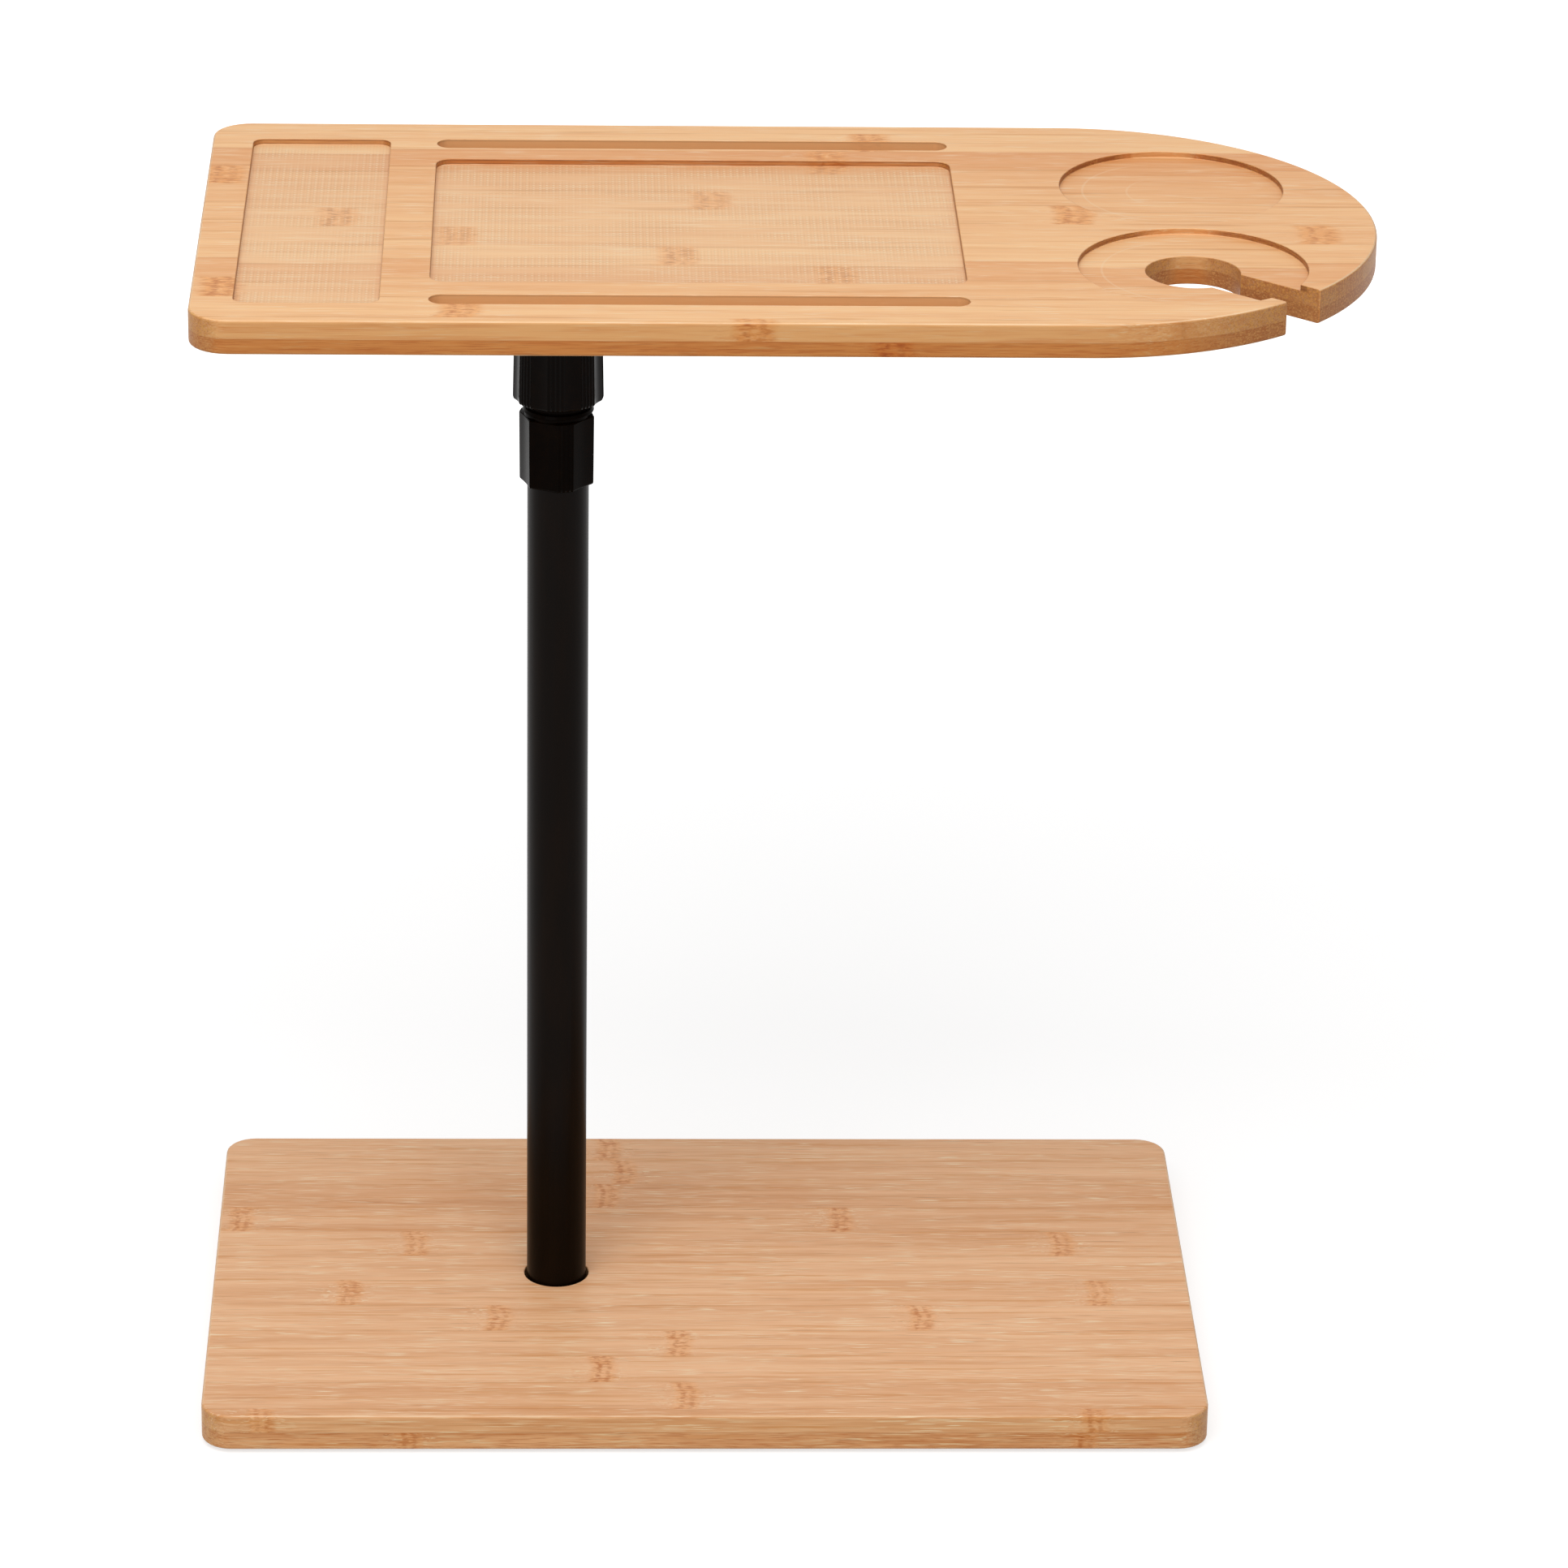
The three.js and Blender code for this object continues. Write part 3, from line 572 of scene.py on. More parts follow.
class Bamboo(Finish):
    """Strip bamboo in two layers, its grain along X, with end grain where a face looks along X.

    A board that is cut has a half-round end, recesses, grooves and a keyhole.
    """

    def __init__(self, name, node, board, strips, cut=False):
        self.look, self.board, self.cut = settings().boards, board, cut
        super().__init__(name, specular=0.25)
        low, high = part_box(node)
        self.low, self.high = low / MILLIMETRE, high / MILLIMETRE
        self.seam = (high.z - self.look.upper_layer) / MILLIMETRE
        self.floor = (high.z - self.look.recess_depth) / MILLIMETRE
        self.x, self.y, self.z = self.parts(self.where_mm)
        facing_x, _, self.up = self.parts(self.place.outputs["Normal"])
        self.side = self.between(self.calc("ABSOLUTE", self.up), *SIDE_FACING)
        self.end = self.between(self.calc("ABSOLUTE", facing_x), *END_FACING)
        self.lower = self.calc("LESS_THAN", self.z, self.seam)
        self.find_strip(strips)
        self.find_grain()

        fine = self.fibres()
        joint = self.glue_joints()
        dent = self.knuckles()
        self.side_grain()
        self.rubbed_edge()
        height = self.minus(fine, self.plus(joint, self.times(dent, 0.1)))
        if cut:
            self.cut_walls()
            height = self.milled(height)
        self.set("Base Color", self.colour)
        self.set("Roughness", self.plus(self.look.roughness - 0.08, self.times(fine, 0.16)))
        self.bump(height, 0.05)

    def stain(self, colour, *shares, strength=1.0):
        """Mixes a colour in by the product of the shares and the strength."""
        self.colour = self.mix(self.times(*shares, strength), self.colour, colour)

    def find_strip(self, strips):
        """The strip at a place, counted from the back, how far across it that is, and the strip's row."""
        wander = self.noise((160.0, 40.0, 1.0), where=self.point(self.x, self.y, 0.0))
        joint_y = self.plus(self.y, self.times(self.minus(wander, 0.5), JOINT_WANDER_MM))
        width = self.look.strip_width / MILLIMETRE
        rows = self.calc("DIVIDE", self.minus(self.board.first_joint / MILLIMETRE, joint_y), width)
        shift = self.times(self.lower, self.board.layer_shift)
        rows = self.plus(rows, self.plus(ROWS_BEHIND_JOINT, shift))
        self.strip = self.calc("FLOOR", rows)
        self.across = self.minus(rows, self.strip)
        count = float(len(strips))
        self.row = self.calc("FLOORED_MODULO", self.strip, count)
        table = self.add("ValToRGB")
        ramp = table.color_ramp
        ramp.interpolation = "CONSTANT"
        while len(ramp.elements) < len(strips):
            ramp.elements.new(0.5)
        for index, (first, spacing, darkness) in enumerate(strips):
            ramp.elements[index].position = index / len(strips)
            ramp.elements[index].color = (first + CARD_SHIFT, spacing, darkness, 1.0)
        self.put(table.inputs["Fac"], self.calc("DIVIDE", self.plus(self.row, 0.5), count))
        card = self.add("SeparateColor")
        self.put(card.inputs["Color"], table.outputs["Color"])
        self.first_knuckle = self.times(self.minus(card.outputs[0], CARD_SHIFT), 1 / MILLIMETRE)
        self.knuckle_spacing = self.times(card.outputs[1], 1 / MILLIMETRE)
        self.darkness = card.outputs[2]

    def find_grain(self):
        """How far the nearest knuckle is, and the grain's coordinates, straight and curled round it."""
        turns = self.calc("DIVIDE", self.minus(self.x, self.first_knuckle), self.knuckle_spacing)
        away = self.times(self.minus(turns, self.calc("ROUND", turns)), self.knuckle_spacing)
        bow = self.times(self.calc("POWER", self.minus(self.across, 0.5), 2.0), KNUCKLE_BOW_MM)
        ripple = self.noise((1.0, 7.0, 7.0), where=self.point(self.row, self.y, self.z))
        ripple = self.times(self.minus(ripple, 0.5), KNUCKLE_RIPPLE_MM)
        self.away = self.plus(away, self.plus(bow, ripple))
        halo = self.between(self.calc("ABSOLUTE", self.away), *KNUCKLE_HALO_MM)
        push = self.times(self.minus(self.noise((9.0, 4.0, 4.0)), 0.5), halo, KNUCKLE_CURL_MM)
        own = self.plus(self.strip, self.times(self.lower, LAYER_OFFSET_STRIPS))
        along = self.plus(self.x, self.times(own, STRIP_OFFSET_MM))
        self.straight = self.point(along, self.y, self.z)
        self.grain = self.point(along, self.plus(self.y, push), self.plus(self.z, push))

    def fibres(self):
        """The long fibres of a strip: its tone, fine grain, pale dashes and a few thin dark threads."""
        board, grain = self.board, self.grain
        fine = self.noise((30.0, 0.5, 0.5), 3.0, 0.6, grain)
        streak = self.noise((55.0, 1.8, 1.8), where=grain)
        cloud = self.noise((190.0, 8.0, 8.0), where=grain)
        tone = self.plus(self.darkness, self.times(self.minus(cloud, 0.5), board.contrast))
        swing = self.between(self.side, 0.0, 1.0, 0.42 * board.contrast, 1.6)
        swing = self.times(self.minus(self.plus(streak, fine), 1.0), swing)
        self.colour = self.mix(self.plus(tone, swing), board.light, board.dark)
        amber = self.patches((120.0, 3.2, 3.2), 0.56, 0.74, detail=1.0, where=grain)
        self.stain(self.look.amber, amber, strength=0.36 * board.contrast)
        dashes = self.patches((19.0, 0.55, 0.55), 0.56, 0.68, detail=1.0, where=grain)
        clumps = self.patches((60.0, 11.0, 11.0), 0.36, 0.64, (0.35, 1.25), 1.0, grain)
        self.stain(self.look.fleck, dashes, clumps, strength=0.55 * board.contrast)
        threads = self.patches((34.0, 0.7, 0.7), 0.68, 0.78, detail=1.0, where=grain)
        self.stain(self.look.thread, threads, strength=0.25 * board.contrast ** 2)
        return fine

    def glue_joints(self):
        """Warmer fibres towards the strips' edges and a thin line at the joint, both in long patches."""
        edge = self.calc("MINIMUM", self.across, self.minus(1.0, self.across))
        clumps = self.noise((85.0, 1.0, 1.0), 1.0, where=self.point(self.x, self.strip, self.lower))
        glow = self.times(self.between(edge, *JOINT_GLOW_STRIPS), self.between(clumps, 0.45, 0.62))
        joint = self.times(self.between(edge, *JOINT_LINE_STRIPS), self.between(clumps, 0.4, 0.62))
        joint = self.times(joint, self.between(self.side, 0.0, 1.0, 0.3, 0.1))
        self.stain(self.look.amber, glow, strength=0.5)
        self.stain(self.look.thread, joint)
        return joint

    def knuckles(self):
        """A warm block of short curled dashes across a strip, with a broken line at each of its ends."""
        size = self.board.knuckle_size
        outer, inner = (reach * size for reach in KNUCKLE_BLOCK_MM)
        block = self.between(self.gap(self.away, KNUCKLE_MIDDLE_MM * size), outer, inner)
        outer, inner = (reach * size for reach in KNUCKLE_LINE_MM)
        bands = self.calc("MAXIMUM", *(
            self.times(self.between(self.gap(self.away, place * size), outer, inner), strength)
            for place, strength in KNUCKLE_LINES
        ))
        row_place = self.point(self.times(self.row, 1.7), 3.0, 8.0)
        force = self.patches((1.0, 1.0, 1.0), 0.3, 0.7, (0.6, 1.0), where=row_place)
        breaks = self.patches((5.0, 1.5, 1.5), 0.44, 0.6, (0.1, 1.0), where=self.straight)
        lines = self.times(bands, force, breaks)
        curled = self.noise((9.0, 1.4, 1.4), roughness=0.55, where=self.grain)
        self.stain(self.look.warm, block, strength=self.board.knuckle_glow)
        self.stain(self.look.knuckle, block, force, self.between(curled, 0.52, 0.63), strength=0.6)
        self.stain(self.board.light, block, self.between(curled, 0.46, 0.35), strength=0.6)
        self.stain(self.look.knuckle, lines)
        return lines

    def side_grain(self):
        """Darkens the ends, partly with painted shade, peppers them with cut fibres, tints the sides and
        draws the seam between the layers.
        """
        look, board, end = self.look, self.board, self.end
        # Painted shade with the end grain's own darkness: end faces darken from the left end inwards,
        # where the slot and its mouth lie in shade.
        shade = self.between(self.x, *END_SHADE_MM, 0.55 * board.end_darkness, board.end_darkness)
        shade = self.times(shade, self.between(self.lower, 0.0, 1.0, 1.0, 1.25))
        self.stain(look.thread, end, shade)
        strength = min(1.0, 2.2 * board.end_darkness)
        distance, tone = self.cells(END_GRAIN_MM)
        dots = self.times(self.between(distance, 0.62, 0.38), self.between(tone, 0.1, 0.55))
        pith = self.mix(self.times(self.lower, 0.3), look.pith, look.fleck)
        self.stain(pith, end, dots, strength=strength)
        pores = self.patches((0.9, 0.9, 0.7), 0.54, 0.66, detail=1.0)
        self.stain(look.thread, pores, end, strength=0.4 * strength)
        streaks = self.patches((15.0, 3.0, 0.6), 0.5, 0.66)
        self.stain(look.knuckle, streaks, self.lower, self.side, strength=0.35 * board.contrast)
        shaded = self.times(self.lower, self.between(end, 0.0, 1.0, 1.0, 0.6))
        tint = self.mix(shaded, board.upper_tint, board.lower_tint)
        self.stain(self.mix(1.0, self.colour, tint, "MULTIPLY"), self.side)
        seam = self.between(self.gap(self.z, self.seam), *SEAM_MM)
        self.stain(look.thread, seam, self.side, strength=0.2)

    def rubbed_edge(self):
        """Paints a pale highlight on the upper edge along the board's outline, where the edge is rounded.
        """
        half = (self.high.y - self.low.y) / 2
        past = self.minus(self.x, self.high.x)
        if self.cut:
            beyond = self.calc("MAXIMUM", self.minus(self.x, self.high.x - half), 0.0)
            outside = self.minus(self.length(self.point(beyond, self.y, 0.0)), half)
        else:
            outside = self.calc("MAXIMUM", self.minus(self.calc("ABSOLUTE", self.y), half), past)
        outside = self.calc("MAXIMUM", outside, self.minus(self.low.x, self.x))
        rim = self.between(outside, *EDGE_HIGHLIGHT_RIM_MM)
        uneven = self.patches((26.0, 26.0, 4.0), 0.35, 0.65, (0.25, 0.7))
        # Painted highlight: a pale line on the rounded upper edge, in uneven stretches.
        self.stain(self.look.fleck, rim, self.near_height(self.high.z, EDGE_HIGHLIGHT_HEIGHT_MM), uneven)

    def near_height(self, height, offsets):
        """How far the way from one offset of a height to the other has gone."""
        return self.between(self.z, height + offsets[0], height + offsets[1])

    def near_box(self, opening):
        """1 within reach of an opening's box, seen from above."""
        low, high = opening_box(opening)
        centre, half = (low + high) / 2 / MILLIMETRE, (high - low) / 2 / MILLIMETRE
        off_x = self.minus(self.gap(self.x, centre.x), half.x)
        off_y = self.minus(self.gap(self.y, centre.y), half.y)
        return self.calc("LESS_THAN", self.calc("MAXIMUM", off_x, off_y), WALL_REACH_MM)

    def from_middle(self, opening):
        """How far along X, and how far in all, a place lies from an opening's middle."""
        low, high = opening_box(opening)
        centre = (low + high) / 2
        off_x = self.minus(self.x, centre.x / MILLIMETRE)
        off_y = self.minus(self.y, centre.y / MILLIMETRE)
        return off_x, self.length(self.point(off_x, off_y, 0.0))

    def near_rim(self, opening):
        """1 at a round recess's wall, less at its front and back."""
        off_x, reach = self.from_middle(opening)
        near = self.calc("LESS_THAN", self.gap(reach, self.look.round_radius / MILLIMETRE), WALL_REACH_MM)
        return self.times(self.between(self.gap(off_x, -3.0), *PALE_FLANK_MM, 0.3, 1.0), near)

    def cut_walls(self):
        """Paints the walls that the cutter has left: scorch and painted shade in the recesses, painted
        light in the grooves.
        """
        look, rim, floor = self.look, self.high.z, self.floor
        straight = self.calc("MAXIMUM", self.near_box("phone_recess"), self.near_box("tablet_recess"))
        curved = self.calc("MAXIMUM", self.near_rim("cup_recess"), self.near_rim("glass_recess"))
        # Painted shade with scorch on the recess walls, darkest in lines under the rim and over the
        # floor.
        scorched_and_shaded = self.times(self.side, self.calc("GREATER_THAN", self.z, floor - FLOOR_SLACK_MM))
        uneven = self.noise((9.0, 9.0, 0.8))
        upper_line = self.near_height(rim, SCORCH_AND_SHADE_TOP_MM)
        lines = self.calc("MAXIMUM", upper_line, self.near_height(floor, SCORCH_AND_SHADE_FOOT_MM))
        strong = self.times(straight, self.between(lines, 0.0, 1.0, 0.42, 0.88))
        strong = self.times(strong, self.between(uneven, 0.3, 0.7, 0.75, 1.0))
        weak = self.times(curved, self.between(uneven, 0.35, 0.65, 0.4, 0.75))
        self.stain(look.scorch, scorched_and_shaded, self.calc("MAXIMUM", strong, weak))
        grooves = self.calc("MAXIMUM", self.near_box("back_groove"), self.near_box("front_groove"))
        groove_walls = self.times(grooves, self.side)
        # Painted light: the groove walls are painted paler to make up for the shade inside the grooves.
        self.stain(look.groove, groove_walls, strength=0.8)
        # A faint dark line of scorch and painted shade under the grooves' rims.
        self.stain(look.scorch, groove_walls, self.near_height(rim, GROOVE_TOP_MM), strength=0.3)

    def waves(self, value, pitch, wave="SINE", low=0.2):
        """Lines at a pitch."""
        return self.between(self.calc(wave, self.times(value, 2 * math.pi / pitch)), low, 1.0)

    def milled(self, height):
        """The fine grid on the flat recess floors, and the cutter's rings on the round ones."""
        look, pitch = self.look, self.look.mill_pitch / MILLIMETRE
        on_floor = self.between(self.gap(self.z, self.floor), *FLOOR_LEVEL_MM)
        on_floor = self.times(on_floor, self.between(self.up, *UP_FACING))
        lines = self.calc("MAXIMUM", self.waves(self.x, pitch), self.waves(self.y, pitch))
        dots = self.times(self.waves(self.x, 2 * pitch), self.waves(self.y, 2 * pitch))
        flat = self.times(on_floor, self.minus(1.0, self.between(self.x, *ROUND_RECESSES_MM)))
        share = self.times(flat, self.patches((55.0, 22.0, 1.0), 0.36, 0.62, (0.12, 1.0)))
        self.stain(look.fleck, flat, strength=0.2)
        self.stain(look.thread, share, lines, strength=0.13)
        self.stain(look.fleck, share, dots, strength=0.75)
        arcs = []
        for recess in ("cup_recess", "glass_recess"):
            off_x, reach = self.from_middle(recess)
            arc = self.waves(reach, look.ring_pitch / MILLIMETRE, "COSINE", 0.975)
            inside = self.calc("LESS_THAN", reach, look.round_radius / MILLIMETRE)
            arcs.append(self.times(arc, self.between(off_x, *RING_SIDE_MM), inside))
        rings = self.times(on_floor, self.calc("MAXIMUM", *arcs))
        self.stain(look.fleck, rings, strength=0.22)
        return self.plus(self.minus(height, self.times(share, lines, 0.8)), self.times(rings, 0.4))


def pole_paint():
    """Satin powder coat with a faint orange-peel surface."""
    finish = Finish("pole_paint", specular=0.065)
    dust = finish.patches((14.0, 14.0, 60.0), 0.35, 0.75, detail=3.0)
    finish.mottle(settings().finishes.paint, 1.9, dust)
    finish.vary_roughness(finish.noise((2.2, 2.2, 160.0)), 0.27, 0.40)
    finish.bump(finish.noise((0.55, 0.55, 0.7)), 0.002)
    return finish.material


def collar_plastic(name, sheen):
    """Glossy moulded plastic, with a light mould texture and fine vertical drag marks."""
    finish = Finish(name, specular=sheen)
    drag = finish.noise((0.5, 0.5, 30.0))
    cloud = finish.patches((6.0, 6.0, 9.0), 0.4, 0.75, detail=3.0)
    finish.mottle(settings().finishes.plastic, 1.7, cloud)
    finish.vary_roughness(drag, 0.17, 0.30, low=0.25)
    finish.bump(drag, 0.002)
    return finish.material


def upper_collar_plastic():
    return collar_plastic("upper_collar_plastic", settings().finishes.upper_sheen)


def lower_collar_plastic():
    return collar_plastic("lower_collar_plastic", settings().finishes.lower_sheen)


def zinc_plate():
    """Bright zinc plate: crystals in the plating over a fine brushed grain."""
    finish = Finish("zinc_plate", specular=0.5, metallic=1.0)
    tone = finish.cells((0.68, 0.68, 0.68))[1]
    brushed = finish.noise((22.0, 0.25, 0.25))
    finish.mottle(settings().finishes.zinc, 0.78, finish.between(tone, 0.1, 0.9))
    finish.vary_roughness(brushed, 0.26, 0.46)
    finish.bump(brushed, 0.02)
    return finish.material


def sleeve_nylon():
    """Natural moulded nylon with a matt, slightly mottled skin."""
    finish = Finish("sleeve_nylon", specular=0.4)
    cloud = finish.patches((8.0, 8.0, 8.0), 0.3, 0.7, detail=3.0)
    finish.mottle(settings().finishes.nylon, 0.86, cloud)
    finish.bump(finish.noise((0.4, 0.4, 0.4)), 0.02)
    return finish.material


def pad_rubber():
    """Matt rubber, dusty and finely pitted."""
    finish = Finish("pad_rubber", specular=0.3)
    dust = finish.patches((5.0, 5.0, 5.0), 0.35, 0.75, detail=4.0)
    pits = finish.noise((0.5, 0.5, 0.5))
    finish.mottle(settings().finishes.rubber, 2.2, dust)
    finish.vary_roughness(pits, 0.75, 0.92)
    finish.bump(pits, 0.05)
    return finish.material


def material(maker):
    """A maker's finish, which has the maker's name and is made the first time that a piece needs it."""
    return bpy.data.materials.get(maker.__name__) or maker()


def turned(name, outline):
    """A round piece about the pole: the outline's radius and height pairs spun into a closed solid."""
    axis = middle("outer_tube")
    shape = bmesh.new()
    points = [shape.verts.new((axis.x + radius, axis.y, height)) for radius, height in outline]
    edges = [shape.edges.new(pair) for pair in zip(points, points[1:] + points[:1])]
    bmesh.ops.spin(
        shape, geom=points + edges, cent=(axis.x, axis.y, 0), axis=(0, 0, 1), dvec=(0, 0, 0),
        angle=2 * math.pi, steps=TUBE_SEGMENTS, use_merge=True, use_duplicate=False,
    )
    bmesh.ops.remove_doubles(shape, verts=shape.verts, dist=WELD_DISTANCE)
    bmesh.ops.recalc_face_normals(shape, faces=shape.faces)
    return new_piece(name, shape)


class Grip:
    """A collar's grip: groups of fine flutes with one or more hollow lands after each."""

    def __init__(self, look):
        self.look = look
        self.start = look.turn - math.pi / 2 - look.spread / 2
        self.step = 2 * math.pi / look.groups
        self.land = (self.step - look.spread) / look.lands

    def angles(self):
        """The angle of each point of the outline, once round."""
        look, collars = self.look, settings().collars
        flute_points = look.flutes * collars.flute_points
        for group in range(look.groups):
            start = self.start + group * self.step
            for point in range(flute_points):
                yield start + look.spread * point / flute_points
            for point in range(look.lands * collars.land_points):
                yield start + look.spread + self.land * point / collars.land_points

    def sink(self, angle):
        """How far the surface lies below the full circle at an angle."""
        look = self.look
        along = (angle - self.start + WELD_DISTANCE) % self.step
        if along < look.spread:
            wave = abs(math.sin(along / look.spread * look.flutes * math.pi))
            return settings().collars.flute_depth * wave ** FLUTE_ROUNDNESS
        share = (along - look.spread) / self.land % 1
        return 4 * look.sink * share * (1 - share)


def extrude_ring(shape, edges, ring):
    """Extrudes an open ring of edges; returns the new edges and their corners in the old order."""
    made = bmesh.ops.extrude_edge_only(shape, edges=edges)["geom"]
    new_edges = [item for item in made if isinstance(item, bmesh.types.BMEdge)]
    new_corners = {item for item in made if isinstance(item, bmesh.types.BMVert)}
    following = []
    for vert in ring:
        neighbours = [edge.other_vert(vert) for edge in vert.link_edges]
        following.append(next(other for other in neighbours if other in new_corners))
    return new_edges, following


def collar(name, node, grip, levels, bore):
    """A twist collar: its grip drawn up through the levels and closed down the bore.

    The levels are heights over its foot with the radius at each, and the bore's are the same but round.
    """
    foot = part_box(node)[0].z
    axis = middle(node)
    directions = [Vector((math.cos(angle), math.sin(angle), 0)) for angle in grip.angles()]
    sinks = [grip.sink(angle) for angle in grip.angles()]
    shape = bmesh.new()
    first = bmesh.ops.create_circle(shape, cap_ends=False, radius=1, segments=len(directions))["verts"]
    edges, ring = list(shape.edges), first

    def place(height, radius, share):
        for vert, direction, sink in zip(ring, directions, sinks):
            vert.co = Vector((axis.x, axis.y, foot + height)) + direction * (radius - share * sink)

    place(*levels[0], 1)
    for (height, radius), share in [(level, 1) for level in levels[1:]] + [(level, 0) for level in bore]:
        edges, ring = extrude_ring(shape, edges, ring)
        place(height, radius, share)
    bmesh.ops.bridge_loops(shape, edges=[edge for edge in shape.edges if edge.is_boundary])
    bmesh.ops.recalc_face_normals(shape, faces=shape.faces)
    return new_piece(name, shape)


def outer_levels(height, foot_radius, head_radius):
    """Height and radius of each level of a collar's outside: a rounded foot and a chamfered head."""
    rounding, chamfer = settings().collars.foot_rounding, settings().collars.head_chamfer
    levels = []
    for step in range(FOOT_STEPS + 1):
        angle = math.pi / 2 * step / FOOT_STEPS
        levels.append((rounding * (1 - math.cos(angle)), foot_radius - rounding * (1 - math.sin(angle))))
    return levels + [(height - chamfer, head_radius), (height, head_radius - chamfer)]


class SIDETABLE_OT_tabletop(bpy.types.Operator):
    """Build the bamboo tabletop"""

    bl_idname = "side_table.tabletop"
    bl_label = "Tabletop"

    def execute(self, context):
        finish = Bamboo("top_bamboo", "tabletop", settings().top, TOP_STRIPS, cut=True).material
        rounding = settings().boards.rim_rounding
        dress("tabletop", "bamboo_tabletop", "top", finish, rounding)
        return {"FINISHED"}


class SIDETABLE_OT_foot_board(bpy.types.Operator):
    """Build the bamboo foot board"""

    bl_idname = "side_table.foot_board"
    bl_label = "Foot board"

    def execute(self, context):
        finish = Bamboo("foot_bamboo", "foot_board", settings().foot, FOOT_STRIPS).material
        rounding = settings().boards.rim_rounding
        dress("foot_board", "bamboo_foot_board", "stand", finish, rounding)
        return {"FINISHED"}


class SIDETABLE_OT_tubes(bpy.types.Operator):
    """Build the two telescoping tubes"""

    bl_idname = "side_table.tubes"
    bl_label = "Tubes"

    def execute(self, context):
        for node, body, wall in (("outer_tube", "stand", OUTER_WALL), ("inner_tube", "mast", INNER_WALL)):
            low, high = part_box(node)
            outer = radius_of(node)
            outline = [(outer - wall, low.z), (outer, low.z), (outer, high.z), (outer - wall, high.z)]
            piece = turned("round_" + node, outline)
            round_edges(piece, TUBE_ROUNDING)
            show(piece, node, body, material(pole_paint))
        return {"FINISHED"}


class SIDETABLE_OT_upper_collar(bpy.types.Operator):
    """Build the upper twist collar"""

    bl_idname = "side_table.upper_collar"
    bl_label = "Upper collar"

    def execute(self, context):
        look = settings().collars
        low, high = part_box("swivel_lock_nut")
        collet_low, collet_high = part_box("swivel_collet")
        height = high.z - low.z
        seat, seat_end = collet_low.z - low.z, collet_high.z - low.z + look.fit_gap
        radius = radius_of("swivel_lock_nut")
        levels = outer_levels(height, radius, radius - look.swivel_taper)
        bore = [
            (height, look.stem_bore), (seat_end, look.stem_bore), (seat_end, look.cone_narrow),
            (seat, look.cone_wide), (seat - look.fit_gap, look.thread_bore), (0, look.thread_bore),
        ]
        piece = collar("upper_collar", "swivel_lock_nut", Grip(settings().upper_grip), levels, bore)
        show(piece, "swivel_lock_nut", "swivel_lock", material(upper_collar_plastic))
        return {"FINISHED"}


class SIDETABLE_OT_lower_collar(bpy.types.Operator):
    """Build the lower twist collar"""

    bl_idname = "side_table.lower_collar"
    bl_label = "Lower collar"

    def execute(self, context):
        look = settings().collars
        low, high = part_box("height_lock_nut")
        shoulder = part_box("outer_tube")[1].z - low.z
        height = high.z - low.z
        body = height - look.neck_height
        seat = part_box("lock_collet")[0].z - low.z
        radius = radius_of("height_lock_nut")
        levels = outer_levels(body, radius - look.lock_taper, radius)
        bore = [
            (body, look.neck_radius), (height, look.neck_radius), (height, look.cone_narrow),
            (seat, look.cone_wide), (seat - look.fit_gap, look.thread_bore), (shoulder, look.thread_bore),
            (shoulder, look.tube_bore), (0, look.tube_bore),
        ]
        piece = collar("lower_collar", "height_lock_nut", Grip(settings().lower_grip), levels, bore)
        show(piece, "height_lock_nut", "height_lock", material(lower_collar_plastic))
        return {"FINISHED"}


class SIDETABLE_OT_head_sleeve(bpy.types.Operator):
    """Build the ring between the collars and its hidden neck"""

    bl_idname = "side_table.head_sleeve"
    bl_label = "Head sleeve"

    def execute(self, context):
        finish = material(lower_collar_plastic)
        dress("head_sleeve", "head_ring", "mast", finish, SLEEVE_ROUNDING)
        return {"FINISHED"}


class SIDETABLE_OT_metalwork(bpy.types.Operator):
    """Build the flange, foot plate, bolt and screws"""

    bl_idname = "side_table.metalwork"
    bl_label = "Metalwork"

    def execute(self, context):
        paint, zinc = material(pole_paint), material(zinc_plate)
        dress("head_flange", "flange_and_stem", "top", paint, FLANGE_ROUNDING)
        plated = [("foot_plate", "stand"), ("foot_bolt", "stand")]
        plated += [(f"foot_screw_{number}", "stand") for number in CORNERS]
        plated += [(f"head_screw_{number}", "top") for number in CORNERS]
        for node, body in plated:
            dress(node, "plated_" + node, body, zinc, FASTENER_ROUNDING)
        return {"FINISHED"}


class SIDETABLE_OT_pads(bpy.types.Operator):
    """Build the rubber pads under the foot board"""

    bl_idname = "side_table.pads"
    bl_label = "Rubber pads"

    def execute(self, context):
        rubber = material(pad_rubber)
        for number in CORNERS:
            node, name = f"foot_pad_{number}", f"rubber_pad_{number}"
            dress(node, name, "stand", rubber, PAD_ROUNDING, segments=3)
        return {"FINISHED"}


class SIDETABLE_OT_hidden_fittings(bpy.types.Operator):
    """Finish the fittings inside the pole, which keep their CAD shapes"""

    bl_idname = "side_table.hidden_fittings"
    bl_label = "Hidden fittings"

    def execute(self, context):
        for node in ("lock_sleeve", "lock_collet", "swivel_collet", "guide_bush"):
            repaint(node, material(sleeve_nylon))
        repaint("tube_plug", material(zinc_plate))
        return {"FINISHED"}


def repaint(node, finish):
    """Gives a CAD node its finish through its object's material slots."""
    for place in frame["nodes"][node].material_slots:
        place.link = "OBJECT"
        place.material = finish


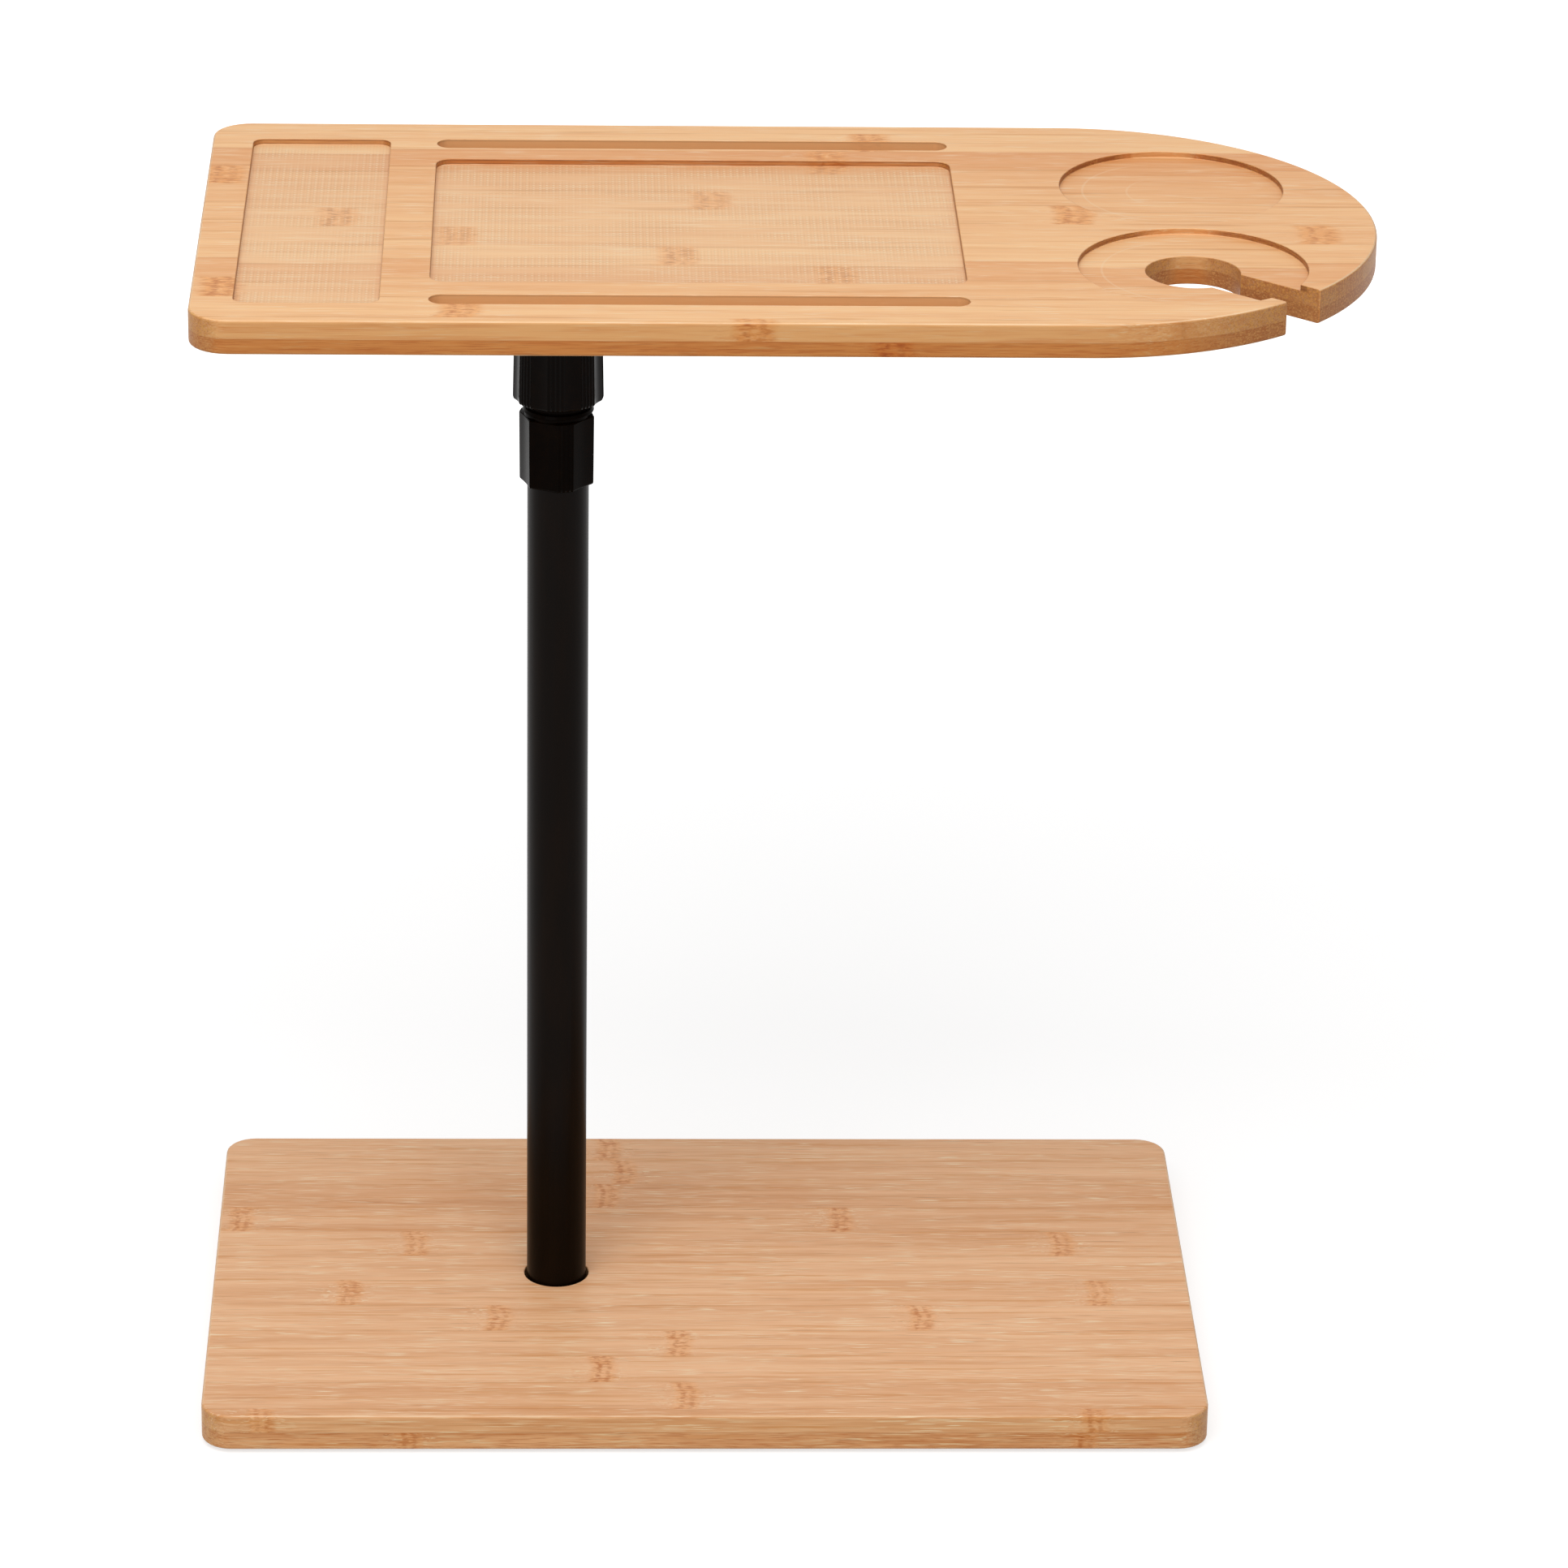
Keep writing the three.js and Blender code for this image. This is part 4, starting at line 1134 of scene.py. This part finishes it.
class SIDETABLE_OT_stage(bpy.types.Operator):
    """Set up the floor, background, lamps and camera"""

    bl_idname = "side_table.stage"
    bl_label = "Stage"

    def execute(self, context):
        look = settings().stage
        make_floor(look)
        make_background(look)
        make_lamp("overhead_lamp", *OVERHEAD_LAMP, look.key_power)
        make_lamp("front_lamp", *FRONT_LAMP, look.fill_power)
        make_camera(look)
        context.scene.view_settings.view_transform = "Standard"
        return {"FINISHED"}


def make_floor(look):
    """A wide matt floor that shows white by itself and keeps the table's shadow."""
    shape = bmesh.new()
    bmesh.ops.create_grid(
        shape, x_segments=FLOOR_SQUARES, y_segments=FLOOR_SQUARES, size=look.floor_size / 2
    )
    bmesh.ops.translate(shape, verts=shape.verts, vec=(0, 0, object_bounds()[0].z - FLOOR_DROP))
    floor = new_piece("floor", shape)
    paper = Finish("floor_paper", specular=0.0, roughness=0.95)
    paper.set("Base Color", (*look.floor_colour, 1.0))
    paper.set("Emission Color", WHITE)
    reach = paper.length(paper.place.outputs["Object"])
    light = paper.between(reach, look.shadow_reach / 2, look.shadow_reach, look.floor_light, 1.0)
    paper.set("Emission Strength", paper.times(paper.seen_directly(), light))
    floor.data.materials.append(paper.material)
    floor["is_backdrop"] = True


def make_background(look):
    """White where it is seen, dimmer where it only gives light."""
    world = bpy.data.worlds.new("white_studio")
    bpy.context.scene.world = world
    sky = Nodes(world)
    background = sky.nodes["Background"]
    sky.put(background.inputs["Color"], WHITE)
    light = sky.between(sky.seen_directly(), 0.0, 1.0, look.ambient, 1.0)
    sky.put(background.inputs["Strength"], light)


def make_lamp(name, place, target, size, power):
    lamp = bpy.data.lights.new(name, "AREA")
    lamp.shape = "RECTANGLE"
    lamp.size, lamp.size_y = size
    lamp.energy = power
    holder = bpy.data.objects.new(name, lamp)
    holder.location = place
    holder.rotation_euler = (Vector(target) - Vector(place)).to_track_quat("-Z", "Y").to_euler()
    bpy.context.scene.collection.objects.link(holder)


def make_camera(look):
    lens = bpy.data.cameras.new("camera")
    lens.sensor_width = SENSOR_WIDTH
    lens.lens = look.focal_pixels * SENSOR_WIDTH / IMAGE_WIDTH
    lens.clip_start, lens.clip_end = CLIP_RANGE
    camera = bpy.data.objects.new("camera", lens)
    turn = Matrix.Rotation(-look.camera_right, 4, "Z")
    tilt = Matrix.Rotation(math.pi / 2 - look.camera_down, 4, "X")
    roll = Matrix.Rotation(-look.camera_roll, 4, "Z")
    camera.matrix_world = Matrix.Translation(look.camera_place) @ turn @ tilt @ roll
    bpy.context.scene.collection.objects.link(camera)
    bpy.context.scene.camera = camera


GROUPS = {
    "boards": SideTableBoards,
    "top": SideTableTop,
    "foot": SideTableFoot,
    "collars": SideTableCollars,
    "upper_grip": SideTableUpperGrip,
    "lower_grip": SideTableLowerGrip,
    "finishes": SideTableFinishes,
    "stage": SideTableStage,
}


class SideTableSettings(bpy.types.PropertyGroup):
    """All settings of the side table"""

    __annotations__ = {
        name: PointerProperty(type=group, name=name.replace("_", " ").title(), description=group.__doc__)
        for name, group in GROUPS.items()
    }


OPERATORS = (
    SIDETABLE_OT_tabletop,
    SIDETABLE_OT_foot_board,
    SIDETABLE_OT_tubes,
    SIDETABLE_OT_upper_collar,
    SIDETABLE_OT_lower_collar,
    SIDETABLE_OT_head_sleeve,
    SIDETABLE_OT_metalwork,
    SIDETABLE_OT_pads,
    SIDETABLE_OT_hidden_fittings,
    SIDETABLE_OT_stage,
)


class SIDETABLE_PT_panel(bpy.types.Panel):
    """The side table's panel in the sidebar"""

    bl_idname = "SIDETABLE_PT_panel"
    bl_label = "Side table"
    bl_space_type = "VIEW_3D"
    bl_region_type = "UI"
    bl_category = "Side table"

    def draw(self, context):
        for group_name, group in GROUPS.items():
            box = self.layout.box()
            for name in group.__annotations__:
                box.prop(getattr(settings(), group_name), name)
        for operator in OPERATORS:
            self.layout.operator(operator.bl_idname)


CLASSES = (*GROUPS.values(), SideTableSettings, *OPERATORS, SIDETABLE_PT_panel)


def register():
    for item in CLASSES:
        bpy.utils.register_class(item)
    bpy.types.Scene.side_table = PointerProperty(type=SideTableSettings)


def unregister():
    del bpy.types.Scene.side_table
    for item in reversed(CLASSES):
        bpy.utils.unregister_class(item)


def main():
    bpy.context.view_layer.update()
    register()
    for operator in OPERATORS:
        group, name = operator.bl_idname.split(".")
        getattr(getattr(bpy.ops, group), name)()


if __name__ == "__main__":
    main()
